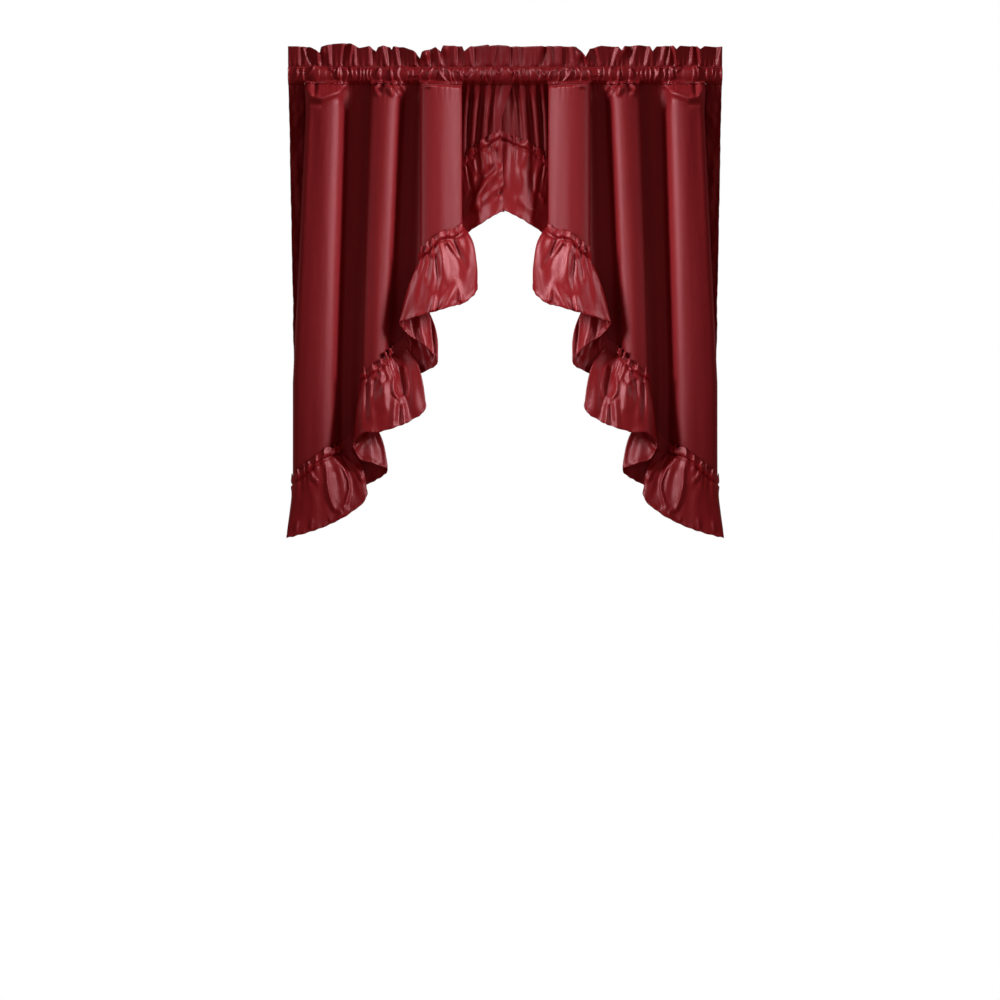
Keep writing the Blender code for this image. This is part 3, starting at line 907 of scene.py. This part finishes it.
# %% Creases of a ruffle
# first and last place, then lines through points: out, drop, half width, height
RUFFLE_CREASES = (
    # lowest shell: one long loop, and short ridges that run to the hem
    (1.00, 1.80, (
        ((347, 764, 3, 3), (345, 797, 3, 4), (339, 825, 3, 5), (331, 844, 3, 5), (320, 848, 3, 5),
         (309, 834, 3, 5), (302, 806, 3, 5), (303, 789, 3, 5), (314, 767, 3, 4), (326, 755, 3, 3)),
        ((330, 774, 8, -4), (324, 800, 11, -5), (322, 826, 8, -3)),
        ((313, 742, 4, 4), (293, 763, 5, 6), (279, 786, 5, 5)),
        ((306, 748, 5, -5), (288, 776, 6, -4)),
        ((308, 845, 4, 5), (322, 860, 4, 5), (337, 872, 4, 3)),
        ((316, 846, 3, -4), (330, 860, 3, -4), (342, 870, 3, -2)),
        ((320, 850, 3, 4), (339, 865, 3, 4)),
        ((378, 770, 4, 4), (372, 784, 4, 5), (366, 790, 4, 3)),
        ((405, 886, 3, 3), (403, 872, 4, 3)),
        ((376, 880, 3, 3), (374, 868, 4, 3)),
    )),
    # the fold that shows under the middle shell
    (1.78, 1.99, (
        ((293, 728, 4, 4), (280, 713, 4, 4), (267, 703, 4, 2)),
        ((254, 703, 8, -8), (244, 728, 10, -9), (239, 750, 8, -5)),
    )),
    # middle shell: a loop over two bands, and short troughs under the stitches
    (1.93, 2.78, (
        ((214, 580, 3, 3), (217, 600, 3, 5), (216, 620, 3, 5), (205, 631, 3, 5), (192, 627, 3, 5),
         (189, 605, 3, 5), (193, 580, 3, 4), (198, 565, 3, 3)),
        ((206, 575, 7, -4), (204, 600, 9, -5), (203, 616, 7, -3)),
        ((214, 640, 5, 4), (216, 665, 6, 5), (217, 684, 6, 3)),
        ((197, 642, 5, 5), (195, 660, 6, 6), (194, 678, 6, 4)),
        ((205, 645, 4, -4), (205, 665, 5, -4), (206, 684, 5, -2)),
        ((268, 604, 4, -3), (269, 630, 5, -4), (268, 652, 6, -1)),
        ((253, 596, 4, -4), (257, 620, 5, -4), (262, 640, 6, -1)),
        ((231, 588, 4, -4), (242, 606, 5, -4), (252, 626, 6, -1)),
        ((261, 600, 4, 3), (262, 630, 6, 3), (260, 665, 8, 2)),
        ((243, 592, 4, 3), (236, 612, 6, 4), (230, 650, 8, 3)),
        ((183, 585, 8, 3), (178, 620, 10, 5), (176, 650, 10, 3)),
    )),
    # the fold that shows under the upper shell
    (2.77, 2.97, (
        ((197, 474, 5, 5), (199, 492, 5, 4)),
        ((184, 476, 7, -8), (178, 500, 7, -8), (170, 520, 6, -4)),
        ((166, 466, 6, 5), (162, 500, 7, 7), (150, 545, 6, 5)),
        ((146, 466, 6, -7), (142, 510, 6, -8), (136, 550, 5, -5)),
    )),
    # upper shell: pleats that fan out from the stitches, and ridges that end at the hem
    (2.93, 3.66, (
        ((134, 358, 4, -5), (130, 395, 5, -6), (136, 424, 6, -1)),
        ((143, 360, 4, -4), (149, 390, 4, -4), (152, 412, 5, 0)),
        ((124, 340, 5, 4), (119, 375, 7, 4), (114, 400, 8, 2)),
        ((116, 322, 4, 4), (104, 340, 4, 6), (94, 356, 4, 2)),
        ((101, 324, 4, -4), (90, 348, 4, -5), (75, 376, 6, -2)),
        ((112, 334, 3, -4), (98, 352, 4, -5), (84, 380, 6, -1)),
        ((94, 408, 6, 2), (106, 432, 7, 8), (122, 458, 7, 8)),
        ((90, 412, 4, 2), (85, 440, 4, 5)),
        ((136, 434, 4, 2), (140, 460, 5, 7)),
        ((126, 440, 4, -1), (131, 462, 4, -4)),
    )),
)
# the centre ends differ: the left one makes a petal over a lower band, the right one lies crumpled
CENTRE_CREASES = {
    "left": (
        (3.90, 5.00, (
            ((8, 182, 4, 4), (34, 206, 6, 8), (48, 226, 6, 8), (60, 254, 5, 4)),
            ((24, 178, 5, -5), (48, 204, 7, -8), (62, 228, 7, -8), (74, 258, 7, -3)),
            ((-3, 190, 3, 4), (1, 207, 3, 6), (14, 223, 3, 7), (38, 241, 4, 6), (59, 254, 4, 4)),
            ((-4, 206, 4, -4), (4, 222, 5, -7), (22, 238, 5, -7), (46, 252, 5, -5)),
            ((12, 237, 4, 5), (38, 248, 4, 5), (60, 259, 5, 4)),
            ((33, 152, 3, 4), (30, 172, 4, 4), (28, 184, 4, 0)),
            ((62, 164, 3, 4), (58, 182, 4, 3), (54, 196, 4, 0)),
            ((16, 146, 4, -5), (14, 160, 4, -5), (10, 172, 4, -2)),
        )),
    ),
    "right": (
        (3.90, 5.00, (
            ((-2, 190, 26, 4), (-2, 268, 28, 6)),
            ((59, 220, 2.5, 4), (75, 241, 2.5, 4)),
            ((28, 182, 5, 3), (36, 204, 6, 2), (33, 228, 6, 1)),
            ((50, 192, 5, -3), (54, 214, 6, -3), (64, 246, 6, -2)),
            ((24, 238, 5, 3), (42, 256, 6, 3), (66, 270, 6, 2)),
        )),
    ),
}
print(sum(len(lines) for _, _, lines in RUFFLE_CREASES), "creases placed by hand on each ruffle")

# %% The surface of a ruffle
STITCH_STAND_OFF = 1.2
STEEP_FADE = 0.03
CENTRE_STARTS = (3.9, 4.1)
# shortest and longest fold and the seed of all that goes to and fro along the cloth
CRINKLE, TIPS, LONG_FOLDS = (7.0, 24.0, 31), (6.0, 26.0, 33), (18.0, 52.0, 37)
SHELL_WRINKLES, SHELL_SLANT = (20.0, 70.0, 41), (-0.7, 0.7)
HEM_FOLDS, HEM_LINE = (7.0, 20.0, 43), (9.0, 30.0, 47)
# the small heading: how far it stands off, and how far it curls to and fro
HEADER_LIFT, CENTRE_LIFT = 6.0, 0.75
MEANDER, MEANDER_FORWARD = 4.2, 0.35
CURL, CURL_AHEAD = 4.0, 2.5
RAGGED = 4.0
END_CALM, END_CALM_PLACES = 0.35, 0.12
# the shells: the puffs under the stitches, the longer gathers, the crumple and the hem's ripples
PUFF, PUFF_FORWARD, PUFF_FADE = 3.0, 3.4, 0.12
LONG_GATHER, CENTRE_GATHER, GATHER_CHANGES, LONG_FADE = 1.7, 0.9, (3.8, 4.0), 0.4
SHELL_HEIGHT, SHELL_CRUMPLE = 110.0, 0.7
HEM_RIPPLE, HEM_UNEVEN, HEM_ROLL = 0.6, 0.8, 0.7
HEADER_ROWS, SHELL_ROWS, ROW_CROWDING = 10, 25, 1.12
HEM_SHARES = (0.955, 0.97, 0.985, 1.0)
SEAM_STEP, HEM_STEP = 1.25, 2.4


def steepness(places):
    """1 where the stitch line climbs steeply and the small heading lies flat, 0 elsewhere."""
    flat = np.zeros_like(places)
    for start, end in STEEP:
        rise, fall = [(at - STEEP_FADE, at + STEEP_FADE) for at in (start, end)]
        flat = np.maximum(flat, window(rise, fall, places))
    return flat


def shell_share(places):
    """1 on the shells and 0 where the stitch line is steep, with soft changes."""
    return np.min([np.clip(np.maximum(start - places, places - end) / SHELL_EDGE, 0.0, 1.0)
                   for start, end in STEEP], axis=0)


def ruffle_rows(fine):
    """The stitch line and the hem, with the widest step that each may have."""
    yield hanging_point("left", fine, seam_drop(fine)), SEAM_STEP
    yield hermite(HEM, fine)[..., :3], HEM_STEP


def shell_base(side, places, shares):
    """The ruffle between its stitches (share 0) and its hem (share 1), before any pleats."""
    seam = seam_drop(places)
    stitch, facing = panel_surface(side, places, seam)
    stitch = stitch + facing * STITCH_STAND_OFF
    hem = hermite(HEM, places)
    over, back = lap(side, places, places * 0.0 + LAP_END_DROP)
    foot = np.stack((hem[..., 0] - over, hem[..., 2] + back, hem[..., 1] - LAP_RISE * over), axis=-1)
    shares, shell = shares[:, None], shell_share(places)
    even = hanging_point(side, places, seam)
    gathered = (stitch - even) * np.exp(-shares / GATHER_FADE)[..., None]
    points = blend(even[None], foot[None], shares[..., None]) + gathered
    points[..., 0] += hem[:, 4] * np.sin(math.pi * shares ** SWING_SKEW)
    points[..., 1] = (blend(even[:, 1], foot[:, 1], shares ** blend(1.0, FLARE, shell)) + gathered[..., 1]
                      - blend(1.0, SWELL, shell) * hem[:, 3] * np.sin(math.pi * shares ** BELLY_SKEW))
    return points


def header_base(side, places, heights, along):
    """The small heading above the stitches: it curls off the panel in crinkles."""
    seam = seam_drop(places)
    stands = (1.0 - steepness(places)) * blend(1.0, CENTRE_LIFT, ease(*CENTRE_STARTS, places))
    meander = uneven_folds(along, *CRINKLE)
    ahead = uneven_folds(along + CURL_AHEAD, *CRINKLE)
    curl = CURL * np.gradient(ahead, along) * CRINKLE[0] / 2
    tips = RAGGED * uneven_folds(along, *TIPS)
    moves = stands * blend(END_CALM, 1.0, ease(RUFFLE_START, RUFFLE_START + END_CALM_PLACES, places))
    rows = []
    for height in heights:
        drops = seam - height * (HEADER + stands * tips)
        base, facing = panel_surface(side, places, drops)
        tangent = np.stack((facing[..., 1], -facing[..., 0], 0.0 * drops), axis=-1)
        lift = HEADER_LIFT * (ease(0.0, 0.35, height) - 0.5 * ease(0.45, 1.0, height))
        waves = MEANDER * (meander + MEANDER_FORWARD) * height ** 0.6
        off = STITCH_STAND_OFF + moves * (lift + waves)
        rows.append(base + facing * off[..., None] + tangent * (curl * height * moves)[..., None])
    return np.array(rows)


def ruffle_surface(side, places):
    """All rows of a ruffle, from the tip of its small heading down to its hem."""
    shares = np.concatenate((np.linspace(0.0, 0.94, SHELL_ROWS) ** ROW_CROWDING, HEM_SHARES))
    heights = np.linspace(1.0, 0.0, HEADER_ROWS)[:-1]
    stitch, _ = panel_surface(side, places, seam_drop(places))
    along = travel(stitch[None], 1)[0]
    shell = shell_base(side, places, shares)
    normal = surface_normals(shell)
    grid = np.broadcast_to(places, shell.shape[:2])
    share = shares[:, None]
    stands = blend(0.25, 1.0, 1.0 - steepness(places))
    puffs = PUFF * uneven_folds(along, *CRINKLE) + PUFF_FORWARD
    push = stands * puffs * ease(0.0, 0.04, share) * np.exp(-share / PUFF_FADE)
    hem_along = travel(shell[-1:], 1)[0]
    middle = blend(along[None], hem_along[None] * along[-1] / hem_along[-1], share)
    long = blend(LONG_GATHER, CENTRE_GATHER, ease(*GATHER_CHANGES, places))
    push = push + (long * uneven_folds(middle, *LONG_FOLDS)
                   * ease(0.02, 0.2, share) * np.exp(-share / LONG_FADE))
    crumple = wrinkles(hem_along[None] + 0 * share, share * SHELL_HEIGHT, *SHELL_WRINKLES, SHELL_SLANT)
    push = push + SHELL_CRUMPLE * crumple * ease(0.1, 0.5, share)
    push = push + HEM_RIPPLE * uneven_folds(hem_along, *HEM_FOLDS) * ease(0.93, 1.0, share)
    push = push + HEM_ROLL * (share > HEM_SHARES[0] - 0.001)
    forward = creases(shell, grid, RUFFLE_CREASES + CENTRE_CREASES[side]) * ease(0.0, 0.06, share)
    shell = shell + normal * push[..., None]
    shell[..., 1] -= forward
    shell[-1, :, 2] += HEM_UNEVEN * uneven_folds(hem_along, *HEM_LINE)
    return np.concatenate((header_base(side, places, heights, along), shell))


rows_down = HEADER_ROWS - 1 + SHELL_ROWS + len(HEM_SHARES)
print(rows_down, "rows of points from a ruffle's tip to its hem")

# %% Ruffles
RUFFLE_CLOTH = 0.6


def make_ruffle(side):
    """One ruffle as a fine sheet, whose steps are already those of ruffle_rows."""
    places = even_places(1.0, RUFFLE_START, CENTRE, ruffle_rows)
    points = ruffle_surface(side, places)
    return cloth(side + "_satin_ruffle", world(side, points), RUFFLE_CLOTH, SATIN["ruffle"])


ruffles = {side: make_ruffle(side) for side in SIDES}

# %% [markdown]
# ## The rod pockets
#
# The cloth is folded over at the top and sewn across twice, which leaves a channel for the rod. With
# a rod in it the channel is round above and narrows to its lower stitches. Its tight gathers lie
# over to the side, and thin creases cross them; only its lower lip dips in step with the gathers of
# the panel. We could gather flat cloth in a simulation, but a ring of points that is swept along
# the rod keeps the channel open, and lets us bend each gather a little as it goes round.

# %% Rod pockets
POCKET_BUTT = 109.0
BUTT_GAP = 0.5
BUTT_SLANT, BUTT_REACH = 0.12, 12.0
LIP_SCALLOP = 1.1
POCKET_CLOTH = 0.6
POCKET_COLUMN = 1.1
RING_POINTS = 40
LIP_AHEAD = 1.35
LIP_REACH = 1.5
EDGE_STEP, EDGE_SAMPLES = 0.5, 7000
# how far the gathers stand off, low on the front and above, and how wide they are
LOW_TUCK, HIGH_TUCK, TUCK_SINK = 2.2, 4.2, 1.4
TUCK_WIDTHS, TUCK_SEED = (7.0, 19.0), 51
BENDS_ROUND, BEND, BEND_LENGTH, BEND_UNEVEN = 2.2, 3.0, 9.0, (1.3, 31.0)
# a smooth stretch, and a swollen one beside it
SMOOTH_AT, SMOOTH_REACH, SMOOTHNESS = 352.0, 20.0, 0.8
SWELLING, SWELLS, SWELLING_ENDS = 5.0, (326.0, 372.0), (374.0, 382.0)
# share of the way round, depth and height of the section: from the lower stitches up the front and
# down the back
POCKET_SECTION = (
    (0.00, -6.0, -17.7), (0.04, -6.5, -16.4), (0.12, -8.0, -13.0), (0.22, -11.0, -7.0),
    (0.30, -13.0, -0.5), (0.37, -12.8, 6.0), (0.43, -10.6, 11.6), (0.48, -6.2, 15.2),
    (0.52, -1.5, 17.2), (0.56, 1.2, 15.8), (0.62, 5.5, 14.2), (0.72, 10.6, 8.4), (0.82, 11.4, -3.0),
    (0.90, 8.4, -11.2), (0.94, 3.4, -12.6), (0.97, -1.8, -13.3), (0.988, -4.4, -14.2),
    (1.00, -6.0, -17.7),
)
# thin creases of the front, as lines through points: from the centre, below the rod, height
POCKET_CREASES = (
    ((327, 3, 2), (326, -12, 4), (319, -16, 4), (315, -12, 3), (310, -9, 2)),
    ((381, -2, 3), (373, -12, 4), (368, -15, 2)),
    ((405, 5, 1), (405, -12, 4), (406, -17, 2)),
    ((344, -15, 3), (334, -7, 4), (331, -12, 3)),
    ((301, -17, 3), (298, 2, 2)),
    ((250, -2, 3), (245, -10, 4), (228, -14, 4), (223, -16, 4), (221, 8, 5)),
    ((206, -14, 4), (189, -15, 4), (186, -9, 2)),
    ((184, 0, 3), (167, 0, 4), (162, -10, 3)),
    ((150, 5, 3), (147, -5, 4), (140, -17, 3)),
    ((132, -7, 3), (131, -14, 4), (126, 0, 5), (116, 10, 4)),
    ((124, -10, 4), (116, -13, 5), (109, -7, 4), (106, 9, 3)),
    ((99, -10, 4), (89, -7, 4), (85, 7, 2)),
    ((80, -5, 3), (75, 2, 4), (68, -10, 4), (58, -12, 3)),
    ((68, 7, 2), (58, -7, 4), (53, -13, 2)),
    ((40, 2, 3), (36, -10, 4), (28, -15, 3)),
    ((22, 4, 2), (17, -8, 4), (12, -2, 3), (7, -12, 4)),
)
POCKET_CREASE_WIDTH = 2.0


def pocket_ends(side):
    """Where the pocket and the heading of this side start and end, left to right."""
    if side == "left":
        return -HALF_WIDTH, POCKET_BUTT - BUTT_GAP / 2
    return POCKET_BUTT + BUTT_GAP / 2, HALF_WIDTH


def panel_edge(x):
    """Depth of the foremost cloth of either panel along its upper edge, smoothed along x."""
    fine = np.linspace(0.0, CENTRE, EDGE_SAMPLES)
    edges = [panel_surface(side, fine, fine * 0.0 + PANEL_TOP)[0] for side in SIDES]
    at = np.concatenate([SIDES[side] * edge[:, 0] for side, edge in zip(SIDES, edges)])
    depth = np.concatenate([edge[:, 1] for edge in edges])
    even = np.arange(-HALF_WIDTH - 4.0, HALF_WIDTH + 4.0, EDGE_STEP)
    foremost = np.full(len(even), np.inf)
    nearest = np.clip(np.round((at - even[0]) / EDGE_STEP).astype(int), 0, len(even) - 1)
    np.minimum.at(foremost, nearest, depth)
    known = np.isfinite(foremost)
    foremost = np.interp(even, even[known], foremost[known])
    spread = int(LIP_REACH / EDGE_STEP)
    padded = np.pad(foremost, spread, mode="edge")
    foremost = np.min([padded[i:i + len(even)] for i in range(2 * spread + 1)], axis=0)
    return np.interp(x, even, foremost)


def pocket_relief(x, around, height):
    """How far the gathered cloth stands off the section, round the channel and along the rod."""
    out, drop = np.abs(x)[None] + 0.0 * around, -height + 0.0 * x[None]
    to_and_fro = BEND * np.sin(x / BEND_LENGTH + BEND_UNEVEN[0] * np.sin(x / BEND_UNEVEN[1]))
    bend = np.sin(around * BENDS_ROUND * ROUND) * to_and_fro[None]
    smooth = 1.0 - SMOOTHNESS * np.exp(-((np.abs(x) - SMOOTH_AT) / SMOOTH_REACH) ** 2)
    stands = blend(LOW_TUCK, HIGH_TUCK, ease(0.15, 0.32, around))
    relief = stands * tucks(out + bend, *TUCK_WIDTHS, TUCK_SEED) * smooth - TUCK_SINK
    relief = relief + SWELLING * window(SWELLS, SWELLING_ENDS, out)
    thin = np.zeros_like(out)
    for line in POCKET_CREASES:
        points = np.array(line, dtype=float)
        thin += crease(out, drop, np.insert(points, 2, POCKET_CREASE_WIDTH, axis=1))
    front = ease(0.02, 0.12, around) * (1.0 - 0.7 * ease(0.45, 0.52, around))
    return (relief + thin * (around < 0.5)) * front * (1.0 - ease(0.86, 0.95, around))


def make_rod_pocket(side):
    """The channel for the rod: it narrows to a lip that covers the panel's upper edge."""
    start, end = pocket_ends(side)
    x = np.linspace(start, end, int(round((end - start) / POCKET_COLUMN)) + 1)
    around = np.linspace(0.0, 1.0, RING_POINTS)[:, None]
    section = hermite(POCKET_SECTION, around[:, 0])
    outward = unit(np.stack((section[:, 0] + 0.01, section[:, 1]), axis=-1))
    relief = pocket_relief(x, around, section[:, 1:2])
    lip = panel_edge(x) - LIP_AHEAD
    hold = (1.0 - ease(0.0, 0.20, around)) + ease(0.90, 1.0, around)
    y = section[:, 0:1] + outward[:, 0:1] * relief + hold * (lip - POCKET_SECTION[0][1])[None]
    scallop = LIP_SCALLOP * (0.5 + 0.5 * gathers(np.abs(x), ROD_GATHER, ROD_GATHER_SEED))
    z = section[:, 1:2] + outward[:, 1:2] * relief + scallop * (1.0 - ease(0.0, 0.10, around))
    y[-1], z[-1] = y[0], z[0]
    near_butt = np.exp(-((x - POCKET_BUTT) / BUTT_REACH) ** 2)
    points = np.stack((x + BUTT_SLANT * y * near_butt, y, z), axis=-1)
    top = np.argmax(section[:, 1])
    tops[side] = (x, y[top], z[top])
    return cloth(side + "_satin_pocket", points * MM, POCKET_CLOTH, SATIN["rod_pocket"],
                 closed_ring=True)


tops = {}
pockets = {side: make_rod_pocket(side) for side in SIDES}

# %% [markdown]
# ## The headings
#
# Above the pocket the doubled cloth stands up as a frill. It is pinched by the stitches at its foot,
# and creases fan out from there in pairs, so that the stiff satin between them lies in flat facets
# that face this way and that. Smooth waves would be simpler, but a flat facet catches the lamp as a
# whole. A table gives the upper edge with its notches, where corners fold over to the front. The
# foot stands just behind the top of the pocket.

# %% Headings
HEADING_CLOTH = 1.2
HEADING_SWAY, SWAY_FOLDS = 2.5, (24.0, 70.0, 67)
HEADING_LEAN = 6.0
HEADING_COLUMN = 1.1
HEADING_ROWS = 18
HEADING_LAP = 2.5
FOOT_BEHIND = 1.5
FOOT_LOW = 0.4
PINCH, PINCH_FOLDS, PINCH_FADE = 1.6, (6.0, 15.0, 7), 0.3
BUTT_DEPTHS, HEADING_BUTT_REACH = {"left": -2.5, "right": 2.0}, 10.0
CALM_ENDS = 8.0
# the upper edge, left to right: from the centre, height
HEADING_EDGE = (
    (-432, 56), (-423, 57), (-380, 56), (-362, 44), (-358, 56), (-333, 62), (-305, 63), (-291, 58.5),
    (-283, 54), (-266, 57.5), (-251, 47), (-247, 55), (-236, 58.4), (-226, 55.6), (-223.5, 50),
    (-220, 57), (-197, 55.6), (-178, 47), (-165, 33), (-160, 46), (-138, 55.6), (-124, 47),
    (-120, 58), (-82, 57), (-78, 47), (-66, 57), (-32, 60), (-28, 57), (-15, 60), (10, 56.6),
    (100, 57.5), (140, 56), (150, 48), (156, 36), (164, 52), (190, 58), (219, 56), (225, 49),
    (231, 57), (262, 59), (283, 57), (289, 47), (296, 57), (329, 58), (335, 51), (341, 58),
    (374, 57), (380, 51), (386, 57), (432, 56),
)
# corners that fold over to the front beside a deep notch: from the centre, share of the height
FOLDED_CORNERS = ((-154.0, 0.72), (146.0, 0.70), (-118.0, 0.85), (233.0, 0.85), (-355.0, 0.8))
CORNER_DEPTH, CORNER_WIDTH, CORNER_HEIGHT = 7.0, 6.0, 0.25
FACET_SEEDS = {"left": 5, "right": 12}
PLEAT_WIDTHS, FACET_WIDTHS = (1.5, 4.5), (8.0, 34.0)
FACET_FAN, FACET_SLANT, FACET_DEPTH = 0.05, 11.0, 8.0
FACET_MARGIN = 9.0
FACET_SOFTNESS = 2  # columns either way over which a crease is rounded


def facets(side, x, share):
    """Depth of the heading: flat facets between creases that fan out in pairs from the stitches."""
    rng = np.random.default_rng(FACET_SEEDS[side])
    back = SIDES[side]
    foot, top, depth = [x[0] - FACET_MARGIN], [x[0] - FACET_MARGIN], [0.0]
    while foot[-1] < x[-1] + FACET_MARGIN:
        pleat, facet = rng.uniform(*PLEAT_WIDTHS), rng.uniform(*FACET_WIDTHS)
        slant, fan = rng.uniform(-FACET_SLANT, FACET_SLANT), FACET_FAN * facet
        for step, shift, front in ((facet, slant - fan, back), (pleat, slant + fan, -back)):
            foot.append(foot[-1] + step)
            top.append(foot[-1] + shift)
            depth.append(front * rng.uniform(0.35, 1.0) * FACET_DEPTH)
    foot, top = np.array(foot), np.array(top)
    rows = [np.interp(x, np.sort(blend(foot, top, up)), depth) * blend(0.25, 1.0, up ** 0.7)
            for up in share[:, 0]]
    rows = np.pad(rows, ((0, 0), (FACET_SOFTNESS, FACET_SOFTNESS)), mode="edge")
    window = 2 * FACET_SOFTNESS + 1
    return sum(rows[:, i:i + len(x)] for i in range(window)) / window


def make_heading(side):
    """The standing frill above a pocket."""
    start, end = pocket_ends(side)
    inner = end if side == "left" else start
    start, end = (start, end + HEADING_LAP) if side == "left" else (start - HEADING_LAP / 4, end)
    x = np.linspace(start, end, int(round((end - start) / HEADING_COLUMN)) + 1)
    foot_y = np.interp(x, tops[side][0], tops[side][1]) + FOOT_BEHIND
    foot_z = np.interp(x, tops[side][0], tops[side][2]) - FOOT_LOW
    share = (np.linspace(0.0, 1.0, HEADING_ROWS) ** 1.1)[:, None]
    depth = facets(side, x, share)
    pinched = PINCH * uneven_folds(x, *PINCH_FOLDS)[None] * np.exp(-share / PINCH_FADE)
    y = foot_y[None] * (1.0 - ease(0.0, 0.5, share)) - HEADING_LEAN * share
    y = y + (pinched + depth) * ease(0.02, 0.15, share)
    for middle, height in FOLDED_CORNERS:
        y = y - CORNER_DEPTH * (np.exp(-((x - middle) / CORNER_WIDTH) ** 2)[None]
                                * np.exp(-((share - height) / CORNER_HEIGHT) ** 2))
    butt = np.exp(-((x - inner) / HEADING_BUTT_REACH) ** 2)[None] * ease(0.0, 0.2, share)
    y = blend(y, BUTT_DEPTHS[side] - HEADING_LEAN * share, butt)
    inside = (ease(0.0, CALM_ENDS, x - start) * ease(0.0, CALM_ENDS, end - x))[None]
    sideways = HEADING_SWAY * uneven_folds(x, *SWAY_FOLDS)[None] * share ** 1.5 * inside
    edge = np.interp(x, *zip(*HEADING_EDGE))
    z = blend(foot_z[None], edge[None], share)
    points = np.stack((x[None] + sideways, y, z), axis=-1)
    return cloth(side + "_satin_heading", points * MM, HEADING_CLOTH, SATIN["heading"])


headings = {side: make_heading(side) for side in SIDES}

# %% [markdown]
# ## Fasten everything to the frame
#
# Each fine piece takes the place of its plain solid and moves with the drape's one body.


def hand_over(piece, node):
    """A finished sheet of cloth replaces its plain solid."""
    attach(piece, "root")
    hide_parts(node)


for side in SIDES:
    hand_over(panels[side], side + "_panel")
    hand_over(ruffles[side], side + "_ruffle")
    hand_over(pockets[side], side + "_rod_pocket")
    hand_over(headings[side], side + "_heading")
